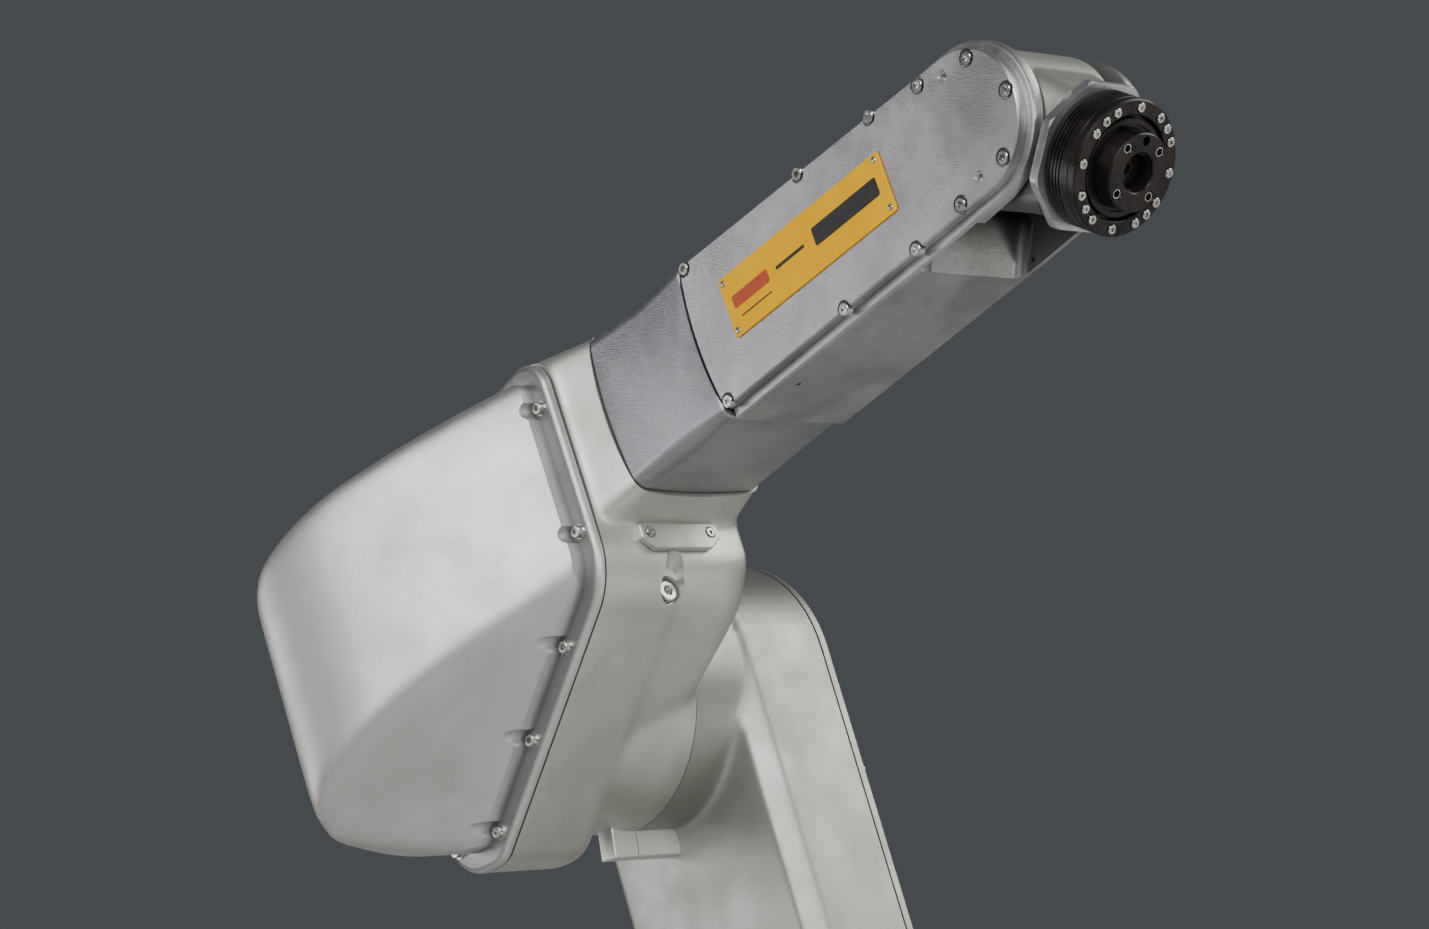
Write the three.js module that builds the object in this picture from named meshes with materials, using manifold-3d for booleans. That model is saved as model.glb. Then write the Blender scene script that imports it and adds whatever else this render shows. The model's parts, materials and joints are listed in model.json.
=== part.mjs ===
// Six-axis industrial robot arm in cast aluminium, floor standing, about 1.3 m of reach.
// Millimetres, +Z up, +X forward, +Y to the arm's own left. The origin is the centre of the
// base's mounting face, on the first axis. The arm is drawn in its rest pose.
//
// Each link is a group in its own frame: the lower arm's Z runs from shoulder to elbow, and in the
// elbow, forearm and wrist X runs along the link. All of them share the world's Y.
import * as THREE from 'three';
import { ConvexGeometry } from 'three/addons/geometries/ConvexGeometry.js';
import { mergeVertices } from 'three/addons/utils/BufferGeometryUtils.js';
import Module from 'manifold-3d';

const wasm = await Module();
wasm.setup();

// ---------------------------------------------------------------- driving dimensions

const GAP = 0.3; // between pieces that touch
const COVER_WALL = 6; // of the domed covers
const COVER_RIM = 15; // width of their flat flanges

const SHOULDER = { x: 155, z: 460 }; // second axis
const LOWER_ARM_LENGTH = 560.5; // second axis to third
const LOWER_ARM_LEAN = 24; // degrees, backwards from upright
const FOREARM_PITCH = 26.2; // degrees, upwards
const ELBOW_TO_WRIST = 571; // third axis to fifth, along the forearm
const FOURTH_AXIS_RISE = 128; // of the fourth axis over the third
const WRIST_PITCH = -18.8; // degrees, downwards

const JOINT_PLANE = 46; // where shoulder and elbow meet the lower arm, in Y

const BASE = {
  size: 400, plate: 25, floor: 12, top: 170, lowRadius: 150, topRadius: 130,
  boltSquare: 320, boltHole: 18, rear: -232,
};
const CONNECTOR_PLATE = { thickness: 5, halfWidth: 72, low: 28, high: 129 };

// What is fitted to the connector plate: name, radius, y, z, length and finish.
const CONNECTORS = [
  ['power_connector', 22, -36, 84, 26, 'motor'],
  ['signal_connector', 17, 22, 84, 24, 'motor'],
  ['air_inlet_fitting', 8, 55, 100, 22, 'brass'],
  ['purge_air_fitting', 8, 55, 66, 22, 'brass'],
  ['ground_stud', 4, -52, 44, 14, 'brass'],
];
const TURRET = { foot: 176, footRadius: 134, drumRadius: 110, nearFace: -62, crown: -182 };
const LOWER_ARM = { near: 85, far: 170, halfWidth: 97, bossRadius: 95, coverThickness: 6.5 };
const ELBOW = { flange: -73, drumRadius: 95, neckFront: 195, coverFlange: 6.4, gasket: 1 };
const FOREARM = {
  back: -372, seam: -273, halfWidth: 53, top: 57, bottom: -61, forkRadius: 54, forkInside: 36.7,
  slotRadius: 62.5, farInside: 47, farRadius: 49, farX: 6, farZ: -5, farBoss: 38,
};
const WRIST = {
  barrelRadius: 50, barrelHalf: 35.5, ringBack: 50, ringShoulder: 60, ringFront: 66.5,
  ringFlats: 46.6, ringRadius: 50, gearboxFront: 92.7,
};
const FLANGE = { radius: 25, face: 104, bore: 12.5, boltCircle: 20, boltHole: 3, dowel: 3 };

const COVER_SCREW = { head: 4.25, headHeight: 5, shank: 2.5, spotface: 6, spotfaceDepth: 4.5 };
const COVER_SCREW_PLACES = [
  [41.7, 0],
  [21.5, 35.7], [21.5, -35.7],
  [-22.8, 43.1], [-22.8, -43.1],
  [-69.4, 48.6], [-69.4, -48.6],
  [-142.9, 50], [-142.9, -50],
  [-266.7, 50], [-266.7, -50],
];

const BELT = { motorX: -165, pitchRadius: 30, motorRadius: 20, thickness: 2.4, near: -47.6, far: -40.4 };

// ---------------------------------------------------------------- finishes

const FINISH = {
  cast: { color: '#b3b2ae', roughness: 0.5, metalness: 0.9 },
  machined: { color: '#c4c3c5', roughness: 0.32, metalness: 1 },
  black: { color: '#1d191a', roughness: 0.35, metalness: 0.6 },
  steel: { color: '#8f8f8c', roughness: 0.3, metalness: 1 },
  rubber: { color: '#131313', roughness: 0.8, metalness: 0 },
  yellow: { color: '#f2b705', roughness: 0.45, metalness: 0.1 },
  motor: { color: '#3b3d40', roughness: 0.6, metalness: 0.3 },
  brass: { color: '#b08d4a', roughness: 0.35, metalness: 1 },
};

// ---------------------------------------------------------------- solids

function solid(geometry) {
  geometry.deleteAttribute('normal');
  geometry.deleteAttribute('uv');
  const merged = mergeVertices(geometry, 1e-4);
  return new wasm.Manifold(new wasm.Mesh({
    numProp: 3,
    vertProperties: new Float32Array(merged.attributes.position.array),
    triVerts: new Uint32Array(merged.index.array),
  }));
}

function join(first, ...others) {
  return others.reduce((sum, other) => sum.add(other), first);
}

function cut(first, ...others) {
  return others.reduce((rest, other) => rest.subtract(other), first);
}

function mesh(name, shape, finish) {
  const { vertProperties, triVerts } = shape.getMesh();
  const geometry = new THREE.BufferGeometry();
  geometry.setAttribute('position', new THREE.BufferAttribute(vertProperties, 3));
  geometry.setIndex(new THREE.BufferAttribute(triVerts, 1));
  const result = new THREE.Mesh(geometry, new THREE.MeshStandardMaterial(FINISH[finish]));
  result.name = name;
  return result;
}

function block(x0, x1, y0, y1, z0, z1) {
  const box = new THREE.BoxGeometry(x1 - x0, y1 - y0, z1 - z0);
  return solid(box.translate((x0 + x1) / 2, (y0 + y1) / 2, (z0 + z1) / 2));
}

// A round bar whose axis runs along Y, X or Z. lastRadius makes it a cone.
function barY(radius, y0, y1, x = 0, z = 0, sides = 20, lastRadius = radius) {
  const bar = new THREE.CylinderGeometry(lastRadius, radius, y1 - y0, sides);
  return solid(bar.translate(x, (y0 + y1) / 2, z));
}

function barX(radius, x0, x1, y = 0, z = 0, sides = 20, lastRadius = radius) {
  const bar = new THREE.CylinderGeometry(lastRadius, radius, x1 - x0, sides);
  return solid(bar.rotateZ(-Math.PI / 2).translate((x0 + x1) / 2, y, z));
}

function barZ(radius, z0, z1, x = 0, y = 0, sides = 20, lastRadius = radius) {
  const bar = new THREE.CylinderGeometry(lastRadius, radius, z1 - z0, sides);
  return solid(bar.rotateX(Math.PI / 2).translate(x, y, (z0 + z1) / 2));
}

function tubeY(outer, inner, y0, y1, x = 0, z = 0, sides = 20) {
  return cut(barY(outer, y0, y1, x, z, sides), barY(inner, y0 - 1, y1 + 1, x, z, sides));
}

function hull(...rings) {
  return solid(new ConvexGeometry(rings.flat()));
}

// ---------------------------------------------------------------- outlines

// A convex outline with rounded corners, from [x, z, radius] corners in counter-clockwise order.
function outline(corners) {
  const shape = new THREE.Shape();
  corners.forEach(([x, z, radius], index) => {
    const [lastX, lastZ] = corners.at(index - 1);
    const [nextX, nextZ] = corners[(index + 1) % corners.length];
    const into = new THREE.Vector2(x - lastX, z - lastZ).normalize();
    const out = new THREE.Vector2(nextX - x, nextZ - z).normalize();
    const turn = Math.acos(THREE.MathUtils.clamp(into.dot(out), -1, 1));
    const reach = radius * Math.tan(turn / 2);
    const centreX = x - into.x * reach - into.y * radius;
    const centreZ = z - into.y * reach + into.x * radius;
    const start = Math.atan2(-into.x, into.y);
    shape.absarc(centreX, centreZ, radius, start, start + turn, false);
  });
  shape.closePath();
  return shape;
}

// The same outline moved inwards by a distance, or outwards if it is negative.
function inset(corners, distance) {
  return corners.map(([x, z, radius], index) => {
    const [lastX, lastZ] = corners.at(index - 1);
    const [nextX, nextZ] = corners[(index + 1) % corners.length];
    const into = new THREE.Vector2(x - lastX, z - lastZ).normalize();
    const out = new THREE.Vector2(nextX - x, nextZ - z).normalize();
    const scale = distance / (1 + into.dot(out));
    return [
      x - (into.y + out.y) * scale,
      z + (into.x + out.x) * scale,
      Math.max(radius - distance, 2),
    ];
  });
}

function prismY(corners, y0, y1, steps = 3) {
  const prism = new THREE.ExtrudeGeometry(outline(corners), {
    depth: y1 - y0, bevelEnabled: false, curveSegments: steps,
  });
  return solid(prism.rotateX(Math.PI / 2).translate(0, y1, 0));
}

// Points of an outline laid at a height in Y, which may be a function of x and z.
function ringY(corners, height, steps = 3) {
  return outline(corners).getPoints(steps).map((point) => {
    const y = typeof height === 'function' ? height(point.x, point.y) : height;
    return new THREE.Vector3(point.x, y, point.y);
  });
}

// A rounded rectangle's points in a plane across X.
function ringX(x, y0, y1, z0, z1, radius, steps = 3) {
  const corners = [[y0, z0, radius], [y1, z0, radius], [y1, z1, radius], [y0, z1, radius]];
  return outline(corners).getPoints(steps).map((point) => new THREE.Vector3(x, point.x, point.y));
}

// Two round ends joined by straight sides, upright in Z.
function stadium(halfWidth, z0, z1) {
  return [
    [-halfWidth, z0 - halfWidth, halfWidth], [halfWidth, z0 - halfWidth, halfWidth],
    [halfWidth, z1 + halfWidth, halfWidth], [-halfWidth, z1 + halfWidth, halfWidth],
  ];
}

function turned(shape, degrees) {
  return shape.rotate([0, degrees, 0]);
}

// ---------------------------------------------------------------- base

function baseCasting() {
  const half = BASE.size / 2;
  const bolt = BASE.boltSquare / 2;
  const plate = cut(
    block(-half, half, -half, half, 0, BASE.plate),
    ...[[-1, -1], [-1, 1], [1, -1], [1, 1]].map(([x, y]) => (
      barZ(BASE.boltHole / 2, -1, BASE.plate + 1, x * bolt, y * bolt, 12)
    )),
  );
  const drum = barZ(BASE.lowRadius, BASE.plate - 1, BASE.top, 0, 0, 40, BASE.topRadius);
  const terminalBox = hull(
    ringX(BASE.rear, -75, 75, BASE.plate - 1, 132, 6),
    ringX(-90, -95, 95, BASE.plate - 1, 145, 6),
  );
  const hollow = join(
    barZ(BASE.lowRadius - 14, BASE.floor, 148, 0, 0, 40, BASE.topRadius - 12),
    barZ(101, 140, BASE.top + 1),
    block(-233, -90, -66, 66, BASE.floor, 122),
  );
  return cut(join(plate, drum, terminalBox), hollow);
}

function makeBase() {
  const group = new THREE.Group();
  const rear = BASE.rear - GAP;
  const outside = rear - CONNECTOR_PLATE.thickness;
  const { halfWidth, low, high } = CONNECTOR_PLATE;
  const plate = block(outside, rear, -halfWidth, halfWidth, low, high);
  const drillings = CONNECTORS.map(([, radius, y, z]) => (
    barX(radius * 0.6, outside - 1, rear + 1, y, z, 12)
  ));
  group.add(mesh('base_casting', baseCasting(), 'cast'));
  group.add(mesh('connector_plate', cut(plate, ...drillings), 'machined'));
  CONNECTORS.forEach(([name, radius, y, z, length, finish]) => {
    const face = outside - GAP;
    const body = join(
      barX(radius, face - length, face, y, z, 12),
      barX(radius * 0.5, face - 1, rear + 12, y, z, 10),
    );
    group.add(mesh(name, body, finish));
  });
  group.add(mesh('j1_motor', join(barZ(52, 24, 138, 0, 0, 20), barZ(18, 137, 148, 0, 0, 16)), 'motor'));
  group.add(mesh('j1_reducer', cut(
    join(barZ(100, 150, BASE.top - 1), barZ(92, BASE.top - 2, TURRET.foot - GAP)),
    barZ(20, 149, TURRET.foot, 0, 0, 18),
  ), 'steel'));
  group.add(mesh('j1_seal', cut(
    barZ(124, BASE.top + GAP, TURRET.foot - GAP), barZ(112, BASE.top, TURRET.foot),
  ), 'rubber'));
  return group;
}

// ---------------------------------------------------------------- turret

const TURRET_COVER = [
  [SHOULDER.x + 96, SHOULDER.z - 84, 50], [SHOULDER.x + 96, SHOULDER.z + 84, 50],
  [SHOULDER.x - 96, SHOULDER.z + 104, 60], [SHOULDER.x - 104, SHOULDER.z - 70, 50],
  [SHOULDER.x - 30, SHOULDER.z - 108, 50],
];

function turretCasting() {
  const drumFar = JOINT_PLANE - GAP;
  const foot = barZ(TURRET.footRadius, TURRET.foot, TURRET.foot + 26, 0, 0, 28);
  const footRing = [
    [-112, -61, 40], [122, -61, 40], [122, 42, 40], [-112, 42, 40],
  ];
  const lowRing = outline(footRing).getPoints(3)
    .map((point) => new THREE.Vector3(point.x, point.y, TURRET.foot + 24));
  const drumRing = (y) => ringY(circleCorners(SHOULDER.x, SHOULDER.z, TURRET.drumRadius - 4), y, 5);
  const trunk = hull(lowRing, drumRing(-40), drumRing(30));
  const drum = barY(TURRET.drumRadius, -45, drumFar, SHOULDER.x, SHOULDER.z, 40);
  const flange = prismY(TURRET_COVER, TURRET.nearFace, -38);
  const hollow = join(
    prismY(inset(TURRET_COVER, 14), TURRET.nearFace - 1, 8),
    barY(69, 16, drumFar + 1, SHOULDER.x, SHOULDER.z),
    barY(42, 0, 20, SHOULDER.x, SHOULDER.z, 20),
    barZ(34, TURRET.foot - 1, SHOULDER.z - 40, 60, -12, 20),
  );
  return cut(join(foot, trunk, drum, flange), hollow);
}

// A bolted cover: a flat flange round a hollow dome, which rises from the flange to its crown points.
// crown(margin) gives those points moved inwards by a margin.
function domedCover(corners, seat, flange, crown) {
  const dome = (margin, floor) => hull(ringY(inset(corners, COVER_RIM + margin), floor), crown(margin));
  return cut(join(prismY(corners, seat, seat + flange), dome(0, seat)), dome(COVER_WALL, seat + 2),
    prismY(inset(corners, COVER_RIM + COVER_WALL), seat - 1, seat + flange + 1));
}

function turretCrown(margin) {
  return [[28, 12], [40, 0]].flatMap(([distance, step]) => (
    ringY(inset(TURRET_COVER, distance + margin), TURRET.crown + 12 - step + margin)
  ));
}

function makeTurret() {
  const group = new THREE.Group();
  const gasketNear = TURRET.nearFace - GAP - 1;
  const coverSeat = gasketNear - GAP - 8;
  group.add(mesh('turret_casting', turretCasting(), 'cast'));
  group.add(mesh('j2_cover_gasket', cut(
    prismY(inset(TURRET_COVER, 1), gasketNear, TURRET.nearFace - GAP),
    prismY(inset(TURRET_COVER, 14), gasketNear - 1, TURRET.nearFace + 1),
  ), 'rubber'));
  group.add(mesh('j2_motor_cover', domedCover(
    TURRET_COVER, coverSeat, 8, turretCrown,
  ), 'cast'));
  group.add(mesh('j2_motor', join(
    barY(50, -162, 7, SHOULDER.x, SHOULDER.z, 20), barY(14, 6, 18, SHOULDER.x, SHOULDER.z, 16),
  ), 'motor'));
  group.add(mesh('j2_reducer', cut(
    barY(68, 17, JOINT_PLANE - 1, SHOULDER.x, SHOULDER.z), barY(15, 16, 30, SHOULDER.x, SHOULDER.z, 16),
  ), 'steel'));
  return group;
}

// ---------------------------------------------------------------- lower arm

const ARM_OUTLINE = stadium(LOWER_ARM.halfWidth, 0, LOWER_ARM_LENGTH);
const STOP_LUG = { inner: 88, outer: 117, halfWidth: 9, angle: 167 };

// A lug on a round boss: its direction is measured in the side plane from straight up, forwards.
function stopLug(y0, y1, angle) {
  const { halfWidth, inner, outer } = STOP_LUG;
  return turned(block(-halfWidth, halfWidth, y0, y1, inner, outer), angle);
}

function lowerArmCasting() {
  const near = LOWER_ARM.near;
  const body = hull(
    ringY(inset(ARM_OUTLINE, 12), near, 5),
    ringY(ARM_OUTLINE, near + 14, 5),
    ringY(ARM_OUTLINE, LOWER_ARM.far, 5),
  );
  const boss = (z) => barY(LOWER_ARM.bossRadius, JOINT_PLANE + GAP, near + 8, 0, z, 40);
  const lug = stopLug(JOINT_PLANE + GAP, near + 8, STOP_LUG.angle + LOWER_ARM_LEAN)
    .translate([0, 0, LOWER_ARM_LENGTH]);
  const hollow = join(
    prismY(inset(ARM_OUTLINE, 15), near + 11, LOWER_ARM.far + 1, 5),
    barY(34, JOINT_PLANE - 1, near + 20, 0, 0, 20),
    barY(34, JOINT_PLANE - 1, near + 20, 0, LOWER_ARM_LENGTH, 20),
  );
  return cut(join(body, boss(0), boss(LOWER_ARM_LENGTH), lug), hollow);
}

function makeLowerArm() {
  const group = new THREE.Group();
  const gasketFar = LOWER_ARM.far + GAP + 1;
  const coverNear = gasketFar + GAP;
  group.add(mesh('lower_arm_casting', lowerArmCasting(), 'cast'));
  group.add(mesh('lower_arm_gasket', cut(
    prismY(inset(ARM_OUTLINE, 1), LOWER_ARM.far + GAP, gasketFar, 5),
    prismY(inset(ARM_OUTLINE, 15), LOWER_ARM.far, gasketFar + 1, 5),
  ), 'rubber'));
  group.add(mesh('lower_arm_cover', hull(
    ringY(ARM_OUTLINE, coverNear, 5),
    ringY(inset(ARM_OUTLINE, 2), coverNear + LOWER_ARM.coverThickness, 5),
  ), 'cast'));
  group.add(mesh('lower_arm_conduit', block(-14, 14, 112, 140, 60, LOWER_ARM_LENGTH - 60), 'rubber'));
  [['j2_seal', 0], ['j3_seal', LOWER_ARM_LENGTH]].forEach(([name, z]) => {
    group.add(mesh(name, tubeY(60, 40, near(), near() + 5, 0, z, 16), 'rubber'));
  });
  return group;
}

// The inner face of the lower arm's near wall, where the lip seals sit.
function near() {
  return LOWER_ARM.near + 11 + GAP;
}

// ---------------------------------------------------------------- elbow

const ELBOW_OUTLINE = [
  [171, 16.5, 52], [171, 189.5, 24], [-66, 158, 50], [-66, -106, 34], [-16, -112, 20],
];
const NECK = { near: -56, far: 56, low: 68, high: 184, corner: 8 };
const PLUG = { radius: 7.6, socket: 3.4, back: 146, face: 156, y: -14, z: 13 };

// The domed cover's crown, from front to rear: x, y, and its lowest and highest z. It is deep over
// the third-axis motor and shallow at the front.
const ELBOW_CROWN = [
  [152, -90.5, 27, 168], [140, -98, 20, 166], [112, -127, 12, 160], [75, -159, 1, 151],
  [30, -190, -22, 138],
  [-15, -207, -44, 118], [-38, -204, -62, 102], [-50, -188, -78, 92],
];

function elbowCrown(margin) {
  const middle = 45;
  const shrink = 1 - margin / 95;
  return ELBOW_CROWN.flatMap(([x, y, low, high]) => [low + margin, high - margin].map((z) => (
    new THREE.Vector3(middle + (x - middle) * shrink, y + margin * 1.2, z)
  )));
}

// The block that carries the neck, on the far side of the cover's seat.
function neckBlock() {
  return hull(
    ringY([[60, -40, 20], [171, 30, 20], [171, 184, 20], [30, 176, 20]], -20),
    ringY([[60, -30, 20], [168, 40, 20], [168, 182, 20], [40, 172, 20]], 4),
    ringY([[114, 30, 12], [171, 40, 12], [171, NECK.high, 12], [102, NECK.high - 4, 12]], 50),
    ringY([[124, 46, 12], [171, 52, 12], [171, NECK.high, 12], [112, NECK.high - 6, 12]], NECK.far),
  );
}

// The rounded front of the housing below the neck, which sinks back towards the far side.
function shoulder() {
  return hull(
    ringY([[60, -50, 12], [171, 18, 44], [171, 100, 10], [60, 100, 10]], -8),
    ringY([[98, -30, 14], [152, 2, 30], [171, 26, 26], [171, 100, 10], [98, 100, 10]], 40),
    ringY([[122, -12, 14], [152, 6, 26], [171, 30, 26], [171, 100, 10], [122, 100, 10]], NECK.far),
  );
}

// The neck runs forwards from the housing to a narrow lip round the fourth axis.
function neck() {
  const lipGrow = 1;
  const lipRing = (x) => ringX(x, NECK.near - lipGrow, NECK.far + lipGrow, NECK.low - lipGrow,
    NECK.high + lipGrow, NECK.corner);
  return join(
    hull(
      ringX(150, ELBOW.flange + 1, NECK.far, 50, 187, 14),
      ringX(168, ELBOW.flange + 1, NECK.far, 57, 187, 14),
      ringX(ELBOW.neckFront, NECK.near, NECK.far, NECK.low, NECK.high, NECK.corner),
    ),
    hull(lipRing(ELBOW.neckFront - 4), lipRing(ELBOW.neckFront)),
  );
}

function elbowHollow(drumFar) {
  const motorSpace = [[64, 78, 8], [158, 78, 8], [158, 172, 8], [64, 164, 8]];
  return join(
    prismY(inset(ELBOW_OUTLINE, 16), ELBOW.flange - 1, -4),
    hull(
      ringY(motorSpace, -60), ringY(motorSpace, -10),
      ringY([[122, 80, 6], [158, 80, 6], [158, 170, 6], [122, 168, 6]], 44),
    ),
    barX(46.3, 150, ELBOW.neckFront + 1, 0, FOURTH_AXIS_RISE, 32),
    barY(78, 4, drumFar + 1, 0, 0, 20),
    barY(38, -10, 10, 0, 0, 20),
    barX(PLUG.radius + GAP, PLUG.back - 1, 180, PLUG.y, PLUG.z, 12),
  );
}

function elbowCasting() {
  const drumFar = JOINT_PLANE - GAP;
  const body = hull(ringY(ELBOW_OUTLINE, ELBOW.flange), ringY(ELBOW_OUTLINE, -8),
    ringY(inset(ELBOW_OUTLINE, 10), 4));
  const drum = barY(ELBOW.drumRadius, -10, drumFar, 0, 0, 28);
  const lug = stopLug(18, drumFar, STOP_LUG.angle + FOREARM_PITCH);
  return cut(join(body, neckBlock(), shoulder(), neck(), drum, lug), elbowHollow(drumFar));
}

function makeElbow() {
  const group = new THREE.Group();
  const gasketFar = ELBOW.flange - GAP;
  const coverFar = gasketFar - ELBOW.gasket - GAP;
  group.add(mesh('elbow_casting', elbowCasting(), 'cast'));
  group.add(mesh('elbow_cover_gasket', cut(
    prismY(inset(ELBOW_OUTLINE, 1), gasketFar - ELBOW.gasket, gasketFar),
    prismY(inset(ELBOW_OUTLINE, 16), gasketFar - 2, gasketFar + 1),
  ), 'rubber'));
  group.add(mesh('elbow_motor_cover', domedCover(
    ELBOW_OUTLINE, coverFar - ELBOW.coverFlange, ELBOW.coverFlange, elbowCrown,
  ), 'cast'));
  group.add(mesh('j3_motor', join(barY(30, -128, 3, 0, 0, 20), barY(12, 2, 12, 0, 0, 12)), 'motor'));
  group.add(mesh('j3_reducer', cut(
    barY(61.5, 11, JOINT_PLANE - 1, 0, 0, 28),
    barY(13, 10, 24, 0, 0, 12),
  ), 'steel'));
  group.add(mesh('j4_motor', join(
    barX(27, -28, 116, -45, FOURTH_AXIS_RISE - 18, 20),
    barX(12, 115, 130, -45, FOURTH_AXIS_RISE - 18, 12),
  ), 'motor'));
  group.add(mesh('j4_reducer', join(
    barX(46, 160, ELBOW.neckFront - 1, 0, FOURTH_AXIS_RISE, 32),
    barX(20, 128, 161, 0, FOURTH_AXIS_RISE, 20),
    barX(34, 118, 129, 0, FOURTH_AXIS_RISE, 20),
  ), 'steel'));
  group.add(mesh('elbow_pad', padPlate(), 'cast'));
  group.add(mesh('elbow_plug', cut(
    barX(PLUG.radius, PLUG.back, PLUG.face, PLUG.y, PLUG.z, 12),
    barX(PLUG.socket, PLUG.face - 6, PLUG.face + 1, PLUG.y, PLUG.z, 6),
  ), 'steel'));
  return group;
}

// A small screwed plate on the front of the elbow, its lower corners cut off.
function padPlate() {
  const front = 171 + GAP;
  const rows = [[-41, 29, 54], [-41, 29, 42], [-31, 19, 35]];
  const points = rows.flatMap(([y0, y1, z]) => [front, front + 5].flatMap((x) => (
    [new THREE.Vector3(x, y0, z), new THREE.Vector3(x, y1, z)]
  )));
  const holes = [-33, 21].map((y) => barX(1.7, front - 1, front + 6, y, 47, 8));
  return cut(hull(points), ...holes);
}

// ---------------------------------------------------------------- forearm

function platePrism(margin, y0, y1) {
  const straight = prismY([
    [FOREARM.seam + 2 + margin, -53 + margin, 3], [0, -48 + margin, 1],
    [0, 48 - margin, 1], [FOREARM.seam + 2 + margin, 53 - margin, 3],
  ], y0, y1, 2);
  return join(straight, barY(48 - margin, y0, y1, 0, 0, 28));
}

// The fork's near arm ends in a full half-circle; its far arm is thinner and ends a little lower.
function forkArms(near) {
  const root = (y0, y1) => ringX(-60, y0, y1, -57, 55.5, 3);
  const nearEnd = circleCorners(0, 0, FOREARM.forkRadius);
  const farEnd = circleCorners(FOREARM.farX, FOREARM.farZ, FOREARM.farRadius);
  return join(
    hull(root(near, 4), ringY(nearEnd, near, 7), ringY(nearEnd, 0, 7)),
    hull(root(-4, FOREARM.halfWidth), ringY(farEnd, 0, 7), ringY(farEnd, FOREARM.halfWidth, 7)),
  );
}

// The space round the two pulleys and the straight runs between them, with a margin.
function beltChannel(margin, y0, y1) {
  const wide = BELT.pitchRadius + margin;
  const narrow = BELT.motorRadius + margin;
  return hull(
    ringY(circleCorners(0, 0, wide), y0, 6), ringY(circleCorners(0, 0, wide), y1, 6),
    ringY(circleCorners(BELT.motorX, 0, narrow), y0, 5),
    ringY(circleCorners(BELT.motorX, 0, narrow), y1, 5),
  );
}

// The corners of a square whose rounded outline is a circle.
function circleCorners(x, z, radius) {
  return [
    [x - radius, z - radius, radius], [x + radius, z - radius, radius],
    [x + radius, z + radius, radius], [x - radius, z + radius, radius],
  ];
}

// The space between the arms of the fork: round behind the wrist, open at the front, with a ramp
// below that lets the wrist bend down.
function forkSpace() {
  const rampFoot = -80;
  const rampSlope = 0.694;
  const onRamp = (z) => [rampFoot + (z + 57) * rampSlope, z, 1];
  const underWrist = [onRamp(-66), [10, -66, 1], [10, -12, 1], onRamp(-12)];
  return join(
    barY(FOREARM.slotRadius, -FOREARM.forkInside, FOREARM.farInside, 0, 0, 36),
    block(0, 70, -FOREARM.forkInside, FOREARM.farInside, -80, 80),
    prismY(underWrist, -FOREARM.forkInside, FOREARM.farInside),
  );
}

function forearmCasting() {
  const near = -FOREARM.halfWidth + 8;
  const back = FOREARM.seam + GAP;
  const body = join(
    hull(
      ringX(back, near, FOREARM.halfWidth, FOREARM.bottom, FOREARM.top, 3),
      ringX(-60, near, FOREARM.halfWidth, -57, 55.5, 3),
    ),
    forkArms(near),
  );
  const boss = barY(FOREARM.farBoss, FOREARM.forkInside, FOREARM.halfWidth - 1, 0, 0, 28);
  const spigots = [[-FOREARM.forkInside - 1, -26], [26, FOREARM.forkInside + 1]]
    .map(([y0, y1]) => barY(20, y0, y1, 0, 0, 20));
  const hollow = join(
    block(back + 12, -96, near - 1, 42, -44, 44),
    beltChannel(5, near - 1, -39.6),
    barX(30, back - 1, back + 20, 0, 0, 20),
    barY(14.6, -60, 60, 0, 0, 20),
    barY(30, FOREARM.forkInside + 8, 60, 0, 0, 20),
  );
  const screwHoles = COVER_SCREW_PLACES.map(([x, z]) => (
    barY(COVER_SCREW.shank + 0.6, near - 1, near + 8, x, z, 6)
  ));
  return cut(join(cut(body, forkSpace()), boss, ...spigots), hollow, ...screwHoles);
}

function forearmCover() {
  const outside = -FOREARM.halfWidth;
  const inside = outside + 8 - GAP;
  const drillings = COVER_SCREW_PLACES.flatMap(([x, z]) => [
    barY(COVER_SCREW.spotface, outside - 1, outside + COVER_SCREW.spotfaceDepth, x, z, 8),
    barY(COVER_SCREW.shank + 0.6, outside, inside + 1, x, z, 6),
  ]);
  const jackHoles = [-36.2, 36.2].map((z) => barY(2.5, outside - 1, inside + 1, -1.4, z, 6));
  return cut(
    platePrism(0, outside, inside), beltChannel(4, outside + 4.6, inside + 1), ...drillings, ...jackHoles,
  );
}

function coverScrew(index) {
  const [x, z] = COVER_SCREW_PLACES[index];
  const seat = -FOREARM.halfWidth + COVER_SCREW.spotfaceDepth - GAP;
  return join(
    barY(COVER_SCREW.head, seat - COVER_SCREW.headHeight, seat, x, z, 8),
    barY(COVER_SCREW.shank, seat - 0.5, -FOREARM.halfWidth + 14, x, z, 6),
  );
}

function forearmRear() {
  const front = FOREARM.seam - GAP;
  const outside = join(
    hull(
      ringX(FOREARM.back, -56, 56, -60, 56, NECK.corner),
      ringX(-318, -55, 55, -61, 57, 14),
    ),
    hull(
      ringX(-318, -55, 55, -61, 57, 14),
      ringX(front - 1.5, -53, 53, -58, 56, 8),
    ),
  );
  return cut(outside, barX(44, FOREARM.back - 1, front + 1, 0, 0, 28));
}

function beltLoop() {
  return cut(
    beltChannel(GAP + BELT.thickness, BELT.near, BELT.far),
    beltChannel(GAP, BELT.near - 1, BELT.far + 1),
  );
}

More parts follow.
